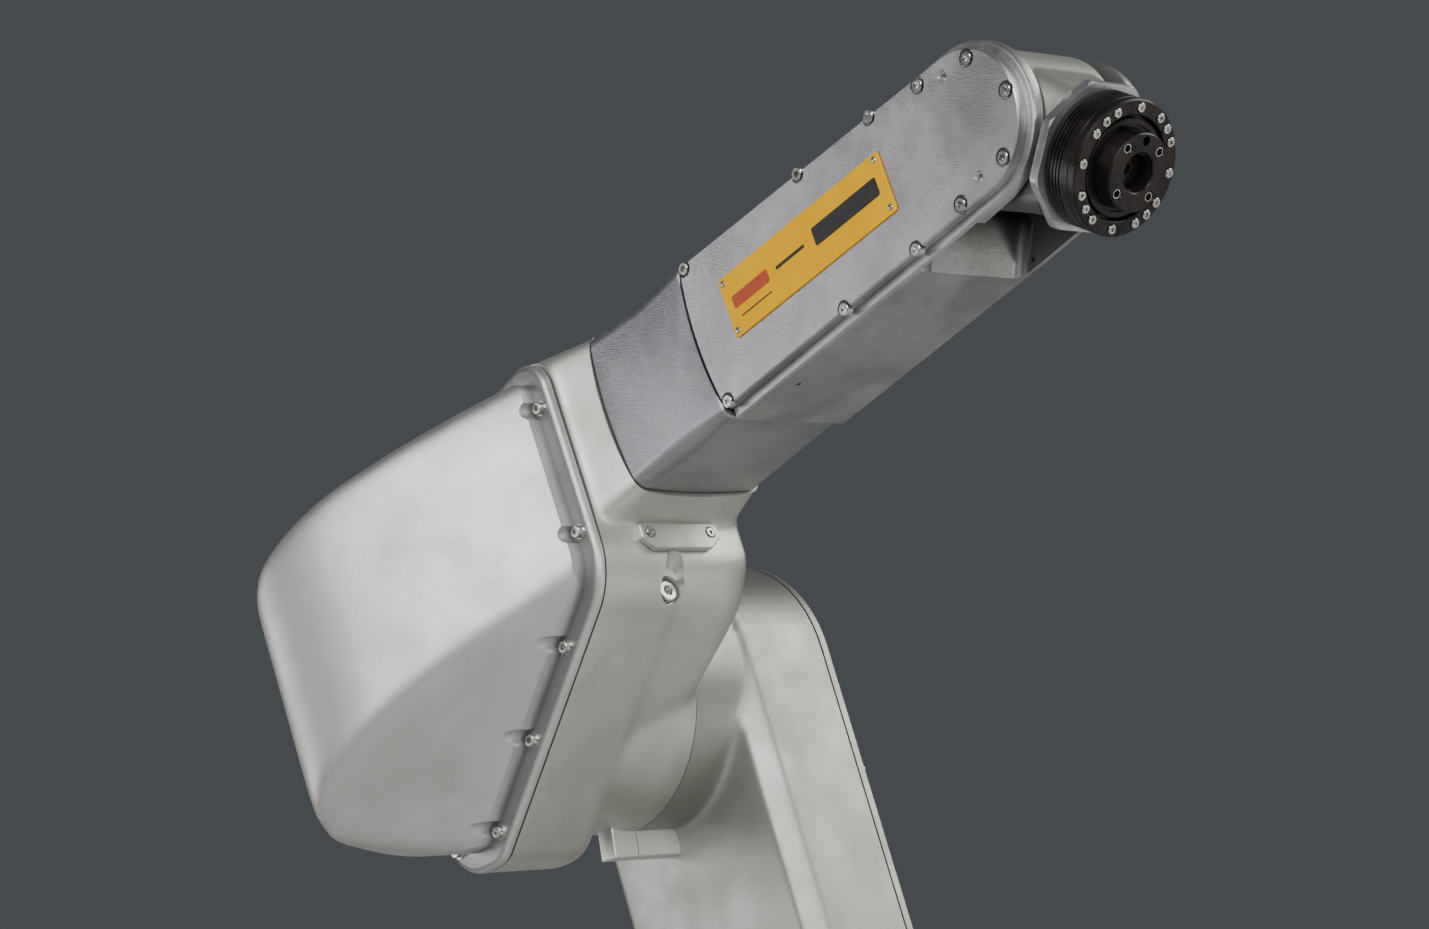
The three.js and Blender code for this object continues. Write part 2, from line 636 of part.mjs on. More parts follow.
function makeForearm() {
  const group = new THREE.Group();
  group.add(mesh('j4_seal', cut(
    hull(ringX(FOREARM.back - 3.7, -53, 53, -57, 53, 16), ringX(FOREARM.back - GAP, -53, 53, -57, 53, 16)),
    barX(47, FOREARM.back - 5, FOREARM.back + 1, 0, 0, 28),
  ), 'rubber'));
  group.add(mesh('forearm_rear_casting', forearmRear(), 'machined'));
  group.add(mesh('forearm_seam_gasket', cut(
    hull(ringX(FOREARM.seam - 1.4, -50, 50, -55, 53, 8), ringX(FOREARM.seam, -50, 50, -55, 53, 8)),
    barX(40, FOREARM.seam - 4, FOREARM.seam + 4, 0, 0, 28),
  ), 'rubber'));
  group.add(mesh('forearm_casting', forearmCasting(), 'machined'));
  group.add(mesh('forearm_cover', forearmCover(), 'machined'));
  COVER_SCREW_PLACES.forEach((place, index) => {
    group.add(mesh(`forearm_cover_screw_${index + 1}`, coverScrew(index), 'steel'));
  });
  group.add(mesh('name_plate', block(-239.5, -71.5, -FOREARM.halfWidth - GAP - 1.2, -FOREARM.halfWidth - GAP,
    -18.3, 24.7), 'yellow'));
  group.add(mesh('j5_motor', join(
    barY(22, -36, 38, BELT.motorX, 0, 20),
    barY(9, BELT.far + 0.4, -35, BELT.motorX, 0, 14),
  ), 'motor'));
  group.add(mesh('j6_motor', barX(22, -252, -194, 2, 0, 20), 'motor'));
  group.add(mesh('j5_belt', beltLoop(), 'rubber'));
  const capSeat = FOREARM.forkInside + 8 + GAP;
  group.add(mesh('wrist_bearing_cap', barY(29.5, capSeat, capSeat + 11.2, 0, 0, 20), 'machined'));
  return group;
}

// The motor's own pulley turns on its shaft, so it is a link of its own.
function makeMotorPulley() {
  const group = new THREE.Group();
  const pulley = barY(BELT.motorRadius, BELT.near, BELT.far, BELT.motorX, 0, 20);
  group.add(mesh('j5_motor_pulley', pulley, 'steel'));
  return group;
}

// ---------------------------------------------------------------- wrist and tool flange

function wristCasting() {
  const barrel = barY(WRIST.barrelRadius, -WRIST.barrelHalf, WRIST.barrelHalf, 0, 0, 30);
  const nose = hull(
    ringX(10, -WRIST.barrelHalf, WRIST.barrelHalf, -46, 46, 10),
    ringX(WRIST.ringBack - GAP, -WRIST.barrelHalf, WRIST.barrelHalf, -40, 40, 14),
  );
  const bearingSeats = [[-WRIST.barrelHalf - 1, -24], [24, WRIST.barrelHalf + 1]]
    .map(([y0, y1]) => barY(29.6, y0, y1, 0, 0, 20));
  const hubBore = barY(14.3, -25, 25, 0, 0, 20);
  const driveBore = barX(26, 20, WRIST.ringBack + 1, 0, 0, 20);
  return cut(join(barrel, nose), ...bearingSeats, hubBore, driveBore);
}

// A turned ring with eight flats, cut away beside the two arms of the fork so that the wrist can bend back.
function flatRing() {
  const octagon = barX(WRIST.ringFlats / Math.cos(Math.PI / 8), WRIST.ringBack, WRIST.ringFront, 0, 0, 8);
  const round = barX(WRIST.ringRadius, WRIST.ringBack - 1, WRIST.ringFront + 1, 0, 0, 30);
  const clearance = [[-80, -WRIST.barrelHalf - 0.5], [WRIST.barrelHalf + 0.5, 80]]
    .map(([y0, y1]) => block(WRIST.ringBack - 1, WRIST.ringShoulder, y0, y1, -80, 80));
  const flats = octagon.rotate([22.5, 0, 0]).intersect(round);
  return cut(flats, barX(26, WRIST.ringBack - 1, WRIST.ringFront + 1, 0, 0, 20), ...clearance);
}

function gearboxHousing() {
  const back = WRIST.ringFront + GAP;
  const front = WRIST.gearboxFront;
  const profile = [
    [26, back], [43.5, back], [43.5, front], [33.5, front], [33.5, front - 6],
    [29, front - 6], [29, front - 10], [26, front - 10], [26, back],
  ];
  const points = profile.map(([radius, x]) => new THREE.Vector2(radius, x));
  return solid(new THREE.LatheGeometry(points, 28).rotateZ(-Math.PI / 2));
}

function makeWrist() {
  const group = new THREE.Group();
  group.add(mesh('wrist_casting', wristCasting(), 'cast'));
  group.add(mesh('wrist_flat_ring', flatRing(), 'machined'));
  group.add(mesh('j6_gearbox', gearboxHousing(), 'black'));
  group.add(mesh('wrist_pulley', join(
    barY(BELT.pitchRadius, BELT.near, BELT.far, 0, 0, 28),
    barY(14, BELT.far - 0.5, 24, 0, 0, 20),
  ), 'steel'));
  [['wrist_bearing_near', -35.2, -24.3], ['wrist_bearing_far', 24.3, 35.2]].forEach(([name, y0, y1]) => {
    group.add(mesh(name, tubeY(29, 20.4, y0, y1, 0, 0, 20), 'steel'));
  });
  return group;
}

function toolFlange() {
  const boltHoles = [45, 135, 225, 315].map((degrees) => {
    const angle = THREE.MathUtils.degToRad(degrees);
    return barX(FLANGE.boltHole, FLANGE.face - 10, FLANGE.face + 1,
      FLANGE.boltCircle * Math.cos(angle), FLANGE.boltCircle * Math.sin(angle), 8);
  });
  const body = join(
    barX(FLANGE.radius, WRIST.gearboxFront - 14, FLANGE.face, 0, 0, 20),
    barX(31.5, WRIST.gearboxFront - 5.7, WRIST.gearboxFront - 1, 0, 0, 20),
    barX(22, 30, WRIST.gearboxFront - 13, 0, 0, 20),
  );
  return cut(body, barX(FLANGE.bore, FLANGE.face - 12, FLANGE.face + 1, 0, 0, 20), ...boltHoles,
    barX(FLANGE.dowel, FLANGE.face - 8, FLANGE.face + 1, 0, FLANGE.boltCircle, 8));
}

function makeToolFlange() {
  const group = new THREE.Group();
  group.add(mesh('tool_flange', toolFlange(), 'black'));
  return group;
}

// ---------------------------------------------------------------- assembly

// Places a link's group with its X axis pitched up by an angle in the side plane.
function placed(group, x, z, pitch) {
  group.position.set(x, 0, z);
  group.rotation.y = -THREE.MathUtils.degToRad(pitch);
  return group;
}

const lean = THREE.MathUtils.degToRad(LOWER_ARM_LEAN);
const pitch = THREE.MathUtils.degToRad(FOREARM_PITCH);
const elbow = {
  x: SHOULDER.x - LOWER_ARM_LENGTH * Math.sin(lean),
  z: SHOULDER.z + LOWER_ARM_LENGTH * Math.cos(lean),
};
const wrist = {
  x: elbow.x + ELBOW_TO_WRIST * Math.cos(pitch) - FOURTH_AXIS_RISE * Math.sin(pitch),
  z: elbow.z + ELBOW_TO_WRIST * Math.sin(pitch) + FOURTH_AXIS_RISE * Math.cos(pitch),
};

const robotArm = new THREE.Group();
robotArm.add(makeBase());
robotArm.add(makeTurret());
robotArm.add(placed(makeLowerArm(), SHOULDER.x, SHOULDER.z, LOWER_ARM_LEAN));
robotArm.add(placed(makeElbow(), elbow.x, elbow.z, FOREARM_PITCH));
robotArm.add(placed(makeForearm(), wrist.x, wrist.z, FOREARM_PITCH));
robotArm.add(placed(makeMotorPulley(), wrist.x, wrist.z, FOREARM_PITCH));
robotArm.add(placed(makeWrist(), wrist.x, wrist.z, WRIST_PITCH));
robotArm.add(placed(makeToolFlange(), wrist.x, wrist.z, WRIST_PITCH));

export default robotArm;
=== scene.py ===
# The look of a six-axis cast-aluminium robot arm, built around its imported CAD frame.
# Shapes are drawn in millimetres in each link's own frame, then placed in the row frame in metres.
import json
from math import acos, atan2, cos, pi, radians, sin, tan, tau

import bmesh
import bpy
from mathutils import Matrix, Vector


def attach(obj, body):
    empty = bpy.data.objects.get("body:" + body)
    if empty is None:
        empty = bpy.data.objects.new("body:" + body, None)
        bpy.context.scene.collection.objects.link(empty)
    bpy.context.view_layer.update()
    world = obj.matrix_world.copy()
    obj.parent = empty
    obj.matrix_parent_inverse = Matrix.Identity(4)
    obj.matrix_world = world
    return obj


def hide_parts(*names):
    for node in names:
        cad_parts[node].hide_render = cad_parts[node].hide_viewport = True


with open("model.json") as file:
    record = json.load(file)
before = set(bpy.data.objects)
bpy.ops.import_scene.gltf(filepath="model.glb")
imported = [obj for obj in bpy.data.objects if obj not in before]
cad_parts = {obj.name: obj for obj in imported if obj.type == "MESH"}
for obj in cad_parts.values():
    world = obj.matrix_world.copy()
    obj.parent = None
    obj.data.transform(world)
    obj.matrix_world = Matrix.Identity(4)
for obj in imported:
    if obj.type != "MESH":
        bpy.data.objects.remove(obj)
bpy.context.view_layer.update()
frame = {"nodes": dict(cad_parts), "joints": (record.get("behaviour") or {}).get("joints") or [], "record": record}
NODES = frame["nodes"]
JOINTS = {joint["name"]: joint for joint in frame["joints"]}
SCENE = bpy.context.scene
MM = 0.001


def new_object(name, data):
    obj = bpy.data.objects.new(name, data)
    SCENE.collection.objects.link(obj)
    return obj


# ---- camera

FOCAL_LENGTH = 100.6
SENSOR_WIDTH = 36
CAMERA_AT = (2.12025, -1.7946, 1.0537)
CAMERA_TOWARDS = (-0.74846, 0.66245, 0.03098)


def look_at(obj, target):
    forward = (Vector(target) - obj.location).normalized()
    right = forward.cross(Vector((0, 0, 1))).normalized()
    obj.rotation_euler = Matrix((right, right.cross(forward), -forward)).transposed().to_euler()


def make_camera():
    data = bpy.data.cameras.new("camera")
    data.lens = FOCAL_LENGTH
    data.sensor_width = SENSOR_WIDTH
    data.clip_end = 100
    camera = new_object("camera", data)
    camera.location = CAMERA_AT
    look_at(camera, camera.location + Vector(CAMERA_TOWARDS))
    SCENE.camera = camera


make_camera()


# ---- frames of the links

def link_frame(origin, direction, along="X"):
    """The place of a link whose X or Z axis has a direction in the side plane; Y is the row's Y."""
    axis, side = Vector(direction).normalized(), Vector((0, 1, 0))
    axes = (axis, side, axis.cross(side)) if along == "X" else (side.cross(axis), side, axis)
    return Matrix.Translation(origin) @ Matrix(axes).transposed().to_4x4() @ Matrix.Scale(MM, 4)


SHOULDER_AT = Vector(JOINTS["j2_shoulder"]["pos_m"])
ELBOW_AT = Vector(JOINTS["j3_elbow"]["pos_m"])
WRIST_AT = Vector(JOINTS["j5_wrist_bend"]["pos_m"])
FOREARM_AXIS = JOINTS["j4_forearm_roll"]["axis"]
WRIST_AXIS = JOINTS["j6_flange_turn"]["axis"]
WORLD = Matrix.Scale(MM, 4)
WRIST_FRAME = link_frame(WRIST_AT, WRIST_AXIS)
FRAMES = {
    "base": WORLD,
    "turret": WORLD,
    "lower_arm": link_frame(SHOULDER_AT, ELBOW_AT - SHOULDER_AT, along="Z"),
    "elbow": link_frame(ELBOW_AT, FOREARM_AXIS),
    "forearm": link_frame(WRIST_AT, FOREARM_AXIS),
    "wrist": WRIST_FRAME,
    "tool_flange": WRIST_FRAME,
}


# ---- sizes shared by pieces, in millimetres

GAP = 0.3  # between two parts that touch
GASKET = 1
SX, SZ = SHOULDER_AT.x / MM, SHOULDER_AT.z / MM
ARM_LENGTH = (ELBOW_AT - SHOULDER_AT).length / MM
REACH = (WRIST_AT - ELBOW_AT).dot(Vector(FOREARM_AXIS)) / MM
RISE = 128  # of the fourth axis above the elbow's
LEAN = 24  # of the lower arm at rest, in degrees, forwards
PITCH = 26.2  # of the forearm at rest, upwards
DROP = 18.8  # of the wrist at rest, downwards
JOINT_PLANE = 46  # where the lower arm meets the turret and the elbow
BOSS = 95  # radius of the round bosses at the shoulder and the elbow
COVER_RIM = 15  # from a domed cover's edge to its dome
SCREW_LINE = 9.5  # from a domed cover's edge to its screws

# Outlines are corners (x, z, radius) in the side plane.
ELBOW_FACE = 171
ELBOW_OUTLINE = [
    (ELBOW_FACE, 16.5, 52), (ELBOW_FACE, 189.5, 24), (-66, 158, 50), (-66, -106, 34), (-16, -112, 20),
]
ELBOW_FLANGE = -73
ELBOW_COVER_FAR = ELBOW_FLANGE - GAP - GASKET - GAP
ELBOW_COVER_SEAT = ELBOW_COVER_FAR - 6.4
NECK_NEAR, NECK_FAR, NECK_LOW, NECK_HIGH, NECK_FRONT = -56, 56, 68, 184, 195

FORE_SEAM, FORE_HALF, FORE_TOP, FORE_BOTTOM = -273, 53, 57, -61
NEAR_ARM_RADIUS, NEAR_ARM_INSIDE = 54, 36.7
FAR_ARM_RADIUS, FAR_ARM_INSIDE, FAR_ARM_BOSS = 49, 47, 38
FAR_ARM_X, FAR_ARM_Z = 6, -5

TURRET_COVER = [
    (SX + 96, SZ - 84, 50), (SX + 96, SZ + 84, 50), (SX - 96, SZ + 104, 60),
    (SX - 104, SZ - 70, 50), (SX - 30, SZ - 108, 50),
]
TURRET_NEAR, TURRET_FOOT, TURRET_CROWN = -62, 176, -182


# ---- solids

def mesh_object(name, bm):
    mesh = bpy.data.meshes.new(name)
    bm.to_mesh(mesh)
    bm.free()
    return new_object(name, mesh)


def solid_of(bm):
    """An object with a finished mesh, its faces turned outwards."""
    bmesh.ops.recalc_face_normals(bm, faces=bm.faces)
    return mesh_object("solid", bm)


def hull(*rings):
    """The convex solid round some rings of points."""
    bm = bmesh.new()
    for ring in rings:
        for point in ring:
            bm.verts.new(point)
    bmesh.ops.remove_doubles(bm, verts=bm.verts, dist=1e-4)
    result = bmesh.ops.convex_hull(bm, input=bm.verts)
    inner = result["geom_interior"] + result["geom_unused"]
    spare = {item for item in inner if isinstance(item, bmesh.types.BMVert)}
    bmesh.ops.delete(bm, geom=list(spare), context="VERTS")
    bmesh.ops.dissolve_limit(bm, angle_limit=radians(0.3), verts=bm.verts, edges=bm.edges)
    bmesh.ops.triangulate(bm, faces=[f for f in bm.faces if len(f.verts) > 4])
    return solid_of(bm)


def bake(obj):
    """Applies an object's modifiers."""
    bpy.context.view_layer.update()
    evaluated = obj.evaluated_get(bpy.context.evaluated_depsgraph_get())
    mesh = bpy.data.meshes.new_from_object(evaluated)
    old = obj.data
    obj.modifiers.clear()
    obj.data = mesh
    bpy.data.meshes.remove(old)
    return obj


def boolean(target, operation, tools):
    for tool in tools:
        step = target.modifiers.new("step", "BOOLEAN")
        step.solver = "MANIFOLD"
        step.operation = operation
        step.object = tool
    bake(target)
    for tool in tools:
        bpy.data.objects.remove(tool)
    return target


def join(target, *tools):
    return boolean(target, "UNION", tools)


def cut(target, *tools):
    return boolean(target, "DIFFERENCE", tools)


def soften(obj, voxel, passes):
    """Turns a joined solid into a cast one: every edge and inside corner gets a soft radius."""
    size = voxel * 1
    step = obj.modifiers.new("remesh", "REMESH")
    step.mode = "VOXEL"
    step.voxel_size = size
    smooth = obj.modifiers.new("smooth", "SMOOTH")
    smooth.factor = 0.5
    smooth.iterations = max(1, round(passes / (1)))
    return bake(obj)


def on_circle(radius, angles):
    return [(radius * cos(angle), radius * sin(angle)) for angle in angles]


def circle(radius, sides=72):
    return on_circle(radius, [tau * i / sides for i in range(sides)])


def disc(axis, along, radius, u=0, v=0, sides=72):
    """A ring of points round an axis; u and v are its middle on the other two axes, in order."""
    points = [[u + a, v + b] for a, b in circle(radius, sides)]
    for point in points:
        point.insert("XYZ".index(axis), along)
    return points


def turned(axis, stations, u=0, v=0, sides=72):
    """A solid round an axis through stations, each a place along the axis and a radius."""
    return hull(*[disc(axis, along, radius, u, v, sides) for along, radius in stations])


def bar(axis, radius, start, end, u=0, v=0, sides=72, last=None, bevel=0):
    """A round bar or cone, with an edge cut off each end where there is a bevel."""
    last = radius if last is None else last
    stations = [(start, radius - bevel), (end, last - bevel)]
    if bevel:
        stations[1:1] = [(start + bevel, radius), (end - bevel, last)]
    return turned(axis, stations, u, v, sides)


def bars(axis, radius, start, end, places, sides=32, last=None):
    """The same bar at several places."""
    return [bar(axis, radius, start, end, u, v, sides, last) for u, v in places]


def block(x0, x1, y0, y1, z0, z1):
    return hull([(x, y, z) for x in (x0, x1) for y in (y0, y1) for z in (z0, z1)])


def shifted(x, profile):
    """A profile of (x, radius) points moved along X."""
    return [(x + along, radius) for along, radius in profile]


def lathe(profile, sides=128):
    """A solid turned about X from a closed profile of (x, radius) points."""
    bm = bmesh.new()
    rings = []
    for x, radius in profile:
        if radius < 1e-6:
            rings.append([bm.verts.new((x, 0, 0))] * sides)
        else:
            rings.append([bm.verts.new((x, a, b)) for a, b in circle(radius, sides)])
    for one, two in zip(rings, rings[1:] + rings[:1]):
        for i in range(sides):
            corners = [one[i], one[(i + 1) % sides], two[(i + 1) % sides], two[i]]
            unique = list(dict.fromkeys(corners))
            if len(unique) > 2:
                bm.faces.new(unique)
    return solid_of(bm)


# ---- outlines

def corner_frames(corners):
    """Each corner of an outline with its unit directions in and out."""
    count = len(corners)
    for index, (x, z, radius) in enumerate(corners):
        last = corners[index - 1]
        following = corners[(index + 1) % count]
        into = Vector((x - last[0], z - last[1])).normalized()
        out = Vector((following[0] - x, following[1] - z)).normalized()
        yield x, z, radius, into, out


def outline(corners, steps=8):
    points = []
    for x, z, radius, into, out in corner_frames(corners):
        turn = acos(max(-1, min(1, into.dot(out))))
        reach = radius * tan(turn / 2)
        middle_x = x - into.x * reach - into.y * radius
        middle_z = z - into.y * reach + into.x * radius
        start = atan2(-into.x, into.y)
        angles = [start + turn * step / steps for step in range(steps + 1)]
        points += [(middle_x + a, middle_z + b) for a, b in on_circle(radius, angles)]
    return points


def inset(corners, distance):
    moved = []
    for x, z, radius, into, out in corner_frames(corners):
        scale = distance / (1 + into.dot(out))
        inner = max(radius - distance, 2)
        moved.append((x - (into.y + out.y) * scale, z + (into.x + out.x) * scale, inner))
    return moved


def box_corners(x0, x1, z0, z1, radius):
    return [(x0, z0, radius), (x1, z0, radius), (x1, z1, radius), (x0, z1, radius)]


def round_corners(x, z, radius):
    return box_corners(x - radius, x + radius, z - radius, z + radius, radius)


def ring_y(corners, y, steps=8):
    return [(x, y, z) for x, z in outline(corners, steps)]


def ring_x(x, y0, y1, z0, z1, radius, steps=8):
    return [(x, y, z) for y, z in outline(box_corners(y0, y1, z0, z1, radius), steps)]


def prism_y(corners, y0, y1, steps=8, near_bevel=0, far_bevel=0):
    rings = [ring_y(corners, y0 + near_bevel, steps), ring_y(corners, y1 - far_bevel, steps)]
    if near_bevel:
        rings.insert(0, ring_y(inset(corners, near_bevel), y0, steps))
    if far_bevel:
        rings.append(ring_y(inset(corners, far_bevel), y1, steps))
    return hull(*rings)


def nearest(path, guide):
    """The point of a closed path that is the nearest to a guide point."""
    points = []
    for a, b in zip(path, path[1:] + path[:1]):
        start, run = Vector(a), Vector(b) - Vector(a)
        share = 0
        if run.length >= 1e-9:
            share = max(0, min(1, (guide - start).dot(run) / run.length_squared))
        points.append(start + run * share)
    return min(points, key=lambda point: (point - guide).length).to_tuple()


def along_outline(corners, distance, guides):
    """Points on an outline moved inwards, each the nearest to a guide point."""
    path = outline(inset(corners, distance), 12)
    return [nearest(path, Vector(guide)) for guide in guides]


# ---- materials

class Shader:
    """A material's nodes: small helpers over one principled shader."""

    def __init__(self, name):
        self.material = bpy.data.materials.new(name)
        self.material.use_nodes = True
        self.tree = self.material.node_tree
        self.base = self.tree.nodes["Principled BSDF"]
        self.place = self.tree.nodes.new("ShaderNodeTexCoord").outputs["Object"]

    def link(self, source, target):
        self.tree.links.new(source, target)

    def node(self, kind, inputs, output=0):
        """A new node with its inputs set, each to a value or a socket."""
        node = self.tree.nodes.new("ShaderNode" + kind)
        for name, value in inputs.items():
            if isinstance(value, bpy.types.NodeSocket):
                self.link(value, node.inputs[name])
            else:
                node.inputs[name].default_value = value
        return node.outputs[output]

    def mapped(self, scale, turn):
        return self.node("Mapping", {"Vector": self.place, "Scale": scale, "Rotation": (0, turn, 0)})

    def noise(self, scale, detail=4, roughness=0.55, vector=None, distortion=0):
        inputs = {"Scale": scale, "Detail": detail, "Roughness": roughness, "Distortion": distortion}
        return self.node("TexNoise", {**inputs, "Vector": vector or self.place}, "Fac")

    def axis(self, name):
        """How far a point lies along a world axis when the robot is at rest, in metres."""
        return self.node("SeparateXYZ", {"Vector": self.place}, name)

    def cells(self, scale):
        return self.node("TexVoronoi", {"Vector": self.place, "Scale": scale}, "Distance")

    def ramp(self, source, low, high, start=0, end=1):
        """Maps a value from low..high to start..end, clamped."""
        limits = {"From Min": low, "From Max": high, "To Min": start, "To Max": end}
        return self.node("MapRange", {"Value": source, **limits}, "Result")

    def spread(self, noise, start, end):
        """Maps the usual range of a noise to start..end."""
        return self.ramp(noise, 0.3, 0.7, start, end)

    def mix(self, share, first, second):
        """Mixes two colours, each a tuple or a socket."""
        node = self.tree.nodes.new("ShaderNodeMix")
        node.data_type = "RGBA"
        colours = [s for s in node.inputs if s.type == "RGBA"]
        for socket, value in zip(colours, (first, second)):
            if isinstance(value, tuple):
                socket.default_value = (*value, 1)
            else:
                self.link(value, socket)
        self.link(share, node.inputs["Factor"])
        return next(s for s in node.outputs if s.type == "RGBA")

    def calculate(self, operation, first, second):
        """Works on two values, each a number or a socket."""
        result = self.node("Math", {0: first, 1: second})
        result.node.operation = operation
        return result

    def add(self, first, second):
        return self.calculate("ADD", first, second)

    def times(self, first, second):
        return self.calculate("MULTIPLY", first, second)

    def bump(self, height, distance, strength):
        inputs = {"Height": height, "Distance": distance, "Strength": strength}
        self.link(self.node("Bump", inputs, "Normal"), self.base.inputs["Normal"])

    def set(self, name, value):
        socket = self.base.inputs[name]
        if isinstance(value, bpy.types.NodeSocket):
            self.link(value, socket)
        elif isinstance(value, tuple):
            socket.default_value = (*value, 1)
        else:
            socket.default_value = value

    def colour(self, noise, dark, light):
        """Two colours in soft blotches."""
        self.set("Base Color", self.mix(self.ramp(noise, 0.35, 0.7), dark, light))

    def roughness(self, noise, low, high):
        self.set("Roughness", self.spread(noise, low, high))


CAST_STAIN = (0.38, 0.37, 0.34)
# Painted shade: near black laid over the cast tone where a shade mask is given.
CAST_PAINTED_SHADE = (0.10, 0.098, 0.095)
MACHINED_STAIN = (0.43, 0.405, 0.40)
MACHINED_PIT = (0.22, 0.21, 0.2)
# Painted shade: near black laid over the machined tone where a shade mask is given.
MACHINED_PAINTED_SHADE = (0.025, 0.024, 0.022)


def cast_aluminium(name="cast_aluminium", dark=(0.50, 0.50, 0.455), light=(0.62, 0.62, 0.585),
                   spot=(0.42, 0.42, 0.38), shade_mask=None):
    """Blasted casting: broad and cloudy tones, a few stains and a fine sandy grain; a shade mask, where given,
    paints shade in near black.
    """
    s = Shader(name)
    broad = s.noise(5.5, 3, 0.5, distortion=0.6)
    cloud = s.noise(22, 5, 0.6)
    grain = s.noise(1500, 3, 0.6)
    tone = s.mix(s.ramp(broad, 0.35, 0.65), dark, light)
    tone = s.mix(s.ramp(cloud, 0.42, 0.75, 0, 0.6), tone, spot)
    stain = s.ramp(s.noise(60, 6, 0.7), 0.62, 0.8, 0, 0.3)
    tone = s.mix(stain, tone, CAST_STAIN)
    # The shade mask paints shade over the tone.
    s.set("Base Color", s.mix(shade_mask(s), tone, CAST_PAINTED_SHADE) if shade_mask else tone)
    s.set("Metallic", 0.88)
    s.set("Roughness", s.add(s.spread(cloud, 0.40, 0.50), s.spread(grain, -0.04, 0.04)))
    s.bump(s.add(grain, s.times(s.noise(330, 4, 0.6), 0.7)), 0.00022, 0.55)
    return s.material


def machined_aluminium(name="machined_aluminium", dark=(0.40, 0.385, 0.405),
                       light=(0.62, 0.60, 0.63), shade_mask=None):
    """Machined and handled: cloudy tones, sparse pits and streaks along the forearm; a shade mask, where given,
    paints shade in near black.
    """
    s = Shader(name)
    cloud = s.noise(16, 5, 0.6, distortion=0.4)
    fine = s.noise(90, 6, 0.65)
    tone = s.mix(s.ramp(cloud, 0.36, 0.66), dark, light)
    tone = s.mix(s.ramp(fine, 0.48, 0.72, 0, 0.65), tone, MACHINED_STAIN)
    pits = s.ramp(s.cells(260), 0.02, 0.1, 1, 0)
    sparse = s.ramp(s.noise(45, 3, 0.6), 0.52, 0.66)
    pit = s.times(pits, sparse)
    tone = s.mix(s.times(pit, 0.45), tone, MACHINED_PIT)
    # The shade mask paints shade over the tone.
    s.set("Base Color", s.mix(shade_mask(s), tone, MACHINED_PAINTED_SHADE) if shade_mask else tone)
    s.set("Metallic", 0.9)
    streaks = s.noise(60, 3, 0.5, s.mapped((2.5, 2.5, 24), radians(PITCH)))
    s.set("Roughness", s.add(s.spread(cloud, 0.33, 0.44), s.spread(streaks, -0.05, 0.05)))
    s.bump(s.add(s.add(fine, streaks), s.times(pit, -0.5)), 0.0002, 0.4)
    return s.material


def band(s, across, rise, fall, strength=1):
    """A band across a world axis: it rises and falls between two pairs of places in millimetres."""
    up = s.ramp(across, rise[0] * MM, rise[1] * MM, 0, strength)
    return s.calculate("MINIMUM", up, s.ramp(across, fall[0] * MM, fall[1] * MM, strength, 0))


def foot_painted_shade(s):
    """Painted shade in the corner between the elbow cover's flange and its dome, where the dome keeps the light
    off the flange.
    """
    seat = ELBOW_COVER_SEAT
    return band(s, s.axis("Y"), (seat - 6.5, seat - 1), (seat + 0.2, seat + 1.4), 0.55)


def wrist_painted_shade(s):
    """Painted shade in the hollow close round the wrist, between the arms of the fork."""
    x = s.calculate("SUBTRACT", s.axis("X"), WRIST_AT.x)
    z = s.calculate("SUBTRACT", s.axis("Z"), WRIST_AT.z)
    distance = s.calculate("POWER", s.add(s.times(x, x), s.times(z, z)), 0.5)
    near = s.ramp(distance, 64 * MM, 88 * MM, 1, 0)
    near_arm, far_arm = -NEAR_ARM_INSIDE, FAR_ARM_INSIDE
    between = band(s, s.axis("Y"), (near_arm - 0.5, near_arm + 0.1), (far_arm - 0.8, far_arm - 0.2))
    return s.times(near, between)


def underside_painted_shade(s):
    """Painted shade on the underside of the wrist casting, darker towards the bottom."""
    return s.ramp(s.axis("Z"), WRIST_AT.z - 34 * MM, WRIST_AT.z + 16 * MM, 0.92, 0)


def black_oxide():
    """Blackened steel with fine turning lines round the sixth axis."""
    s = Shader("black_oxide")
    lines = s.noise(1, 2, 0.5, s.mapped((2600, 40, 40), radians(DROP)))
    blotch = s.noise(70, 4, 0.6)
    s.colour(blotch, (0.013, 0.010, 0.010), (0.030, 0.024, 0.023))
    s.set("Metallic", 0.55)
    s.set("Roughness", s.add(s.spread(blotch, 0.27, 0.4), s.spread(lines, -0.05, 0.05)))
    s.bump(lines, 0.00006, 0.5)
    return s.material


def finish(name, dark, light, blotch, gloss, rough, grain=None, bump=(), metallic=0, specular=0.5):
    """Blotches of two colours, uneven gloss and a fine grain; each noise is its scale and detail."""
    s = Shader(name)
    s.colour(s.noise(*blotch), dark, light)
    s.set("Metallic", metallic)
    s.set("Specular IOR Level", specular)
    s.roughness(s.noise(*gloss), *rough)
    if grain:
        s.bump(s.noise(*grain), *bump)
    return s.material


def black_rubber(name):
    return finish(name, (0.010, 0.010, 0.010), (0.024, 0.024, 0.023), (40,),
                  (200,), (0.55, 0.75), (2500, 2), (0.00005, 0.5))


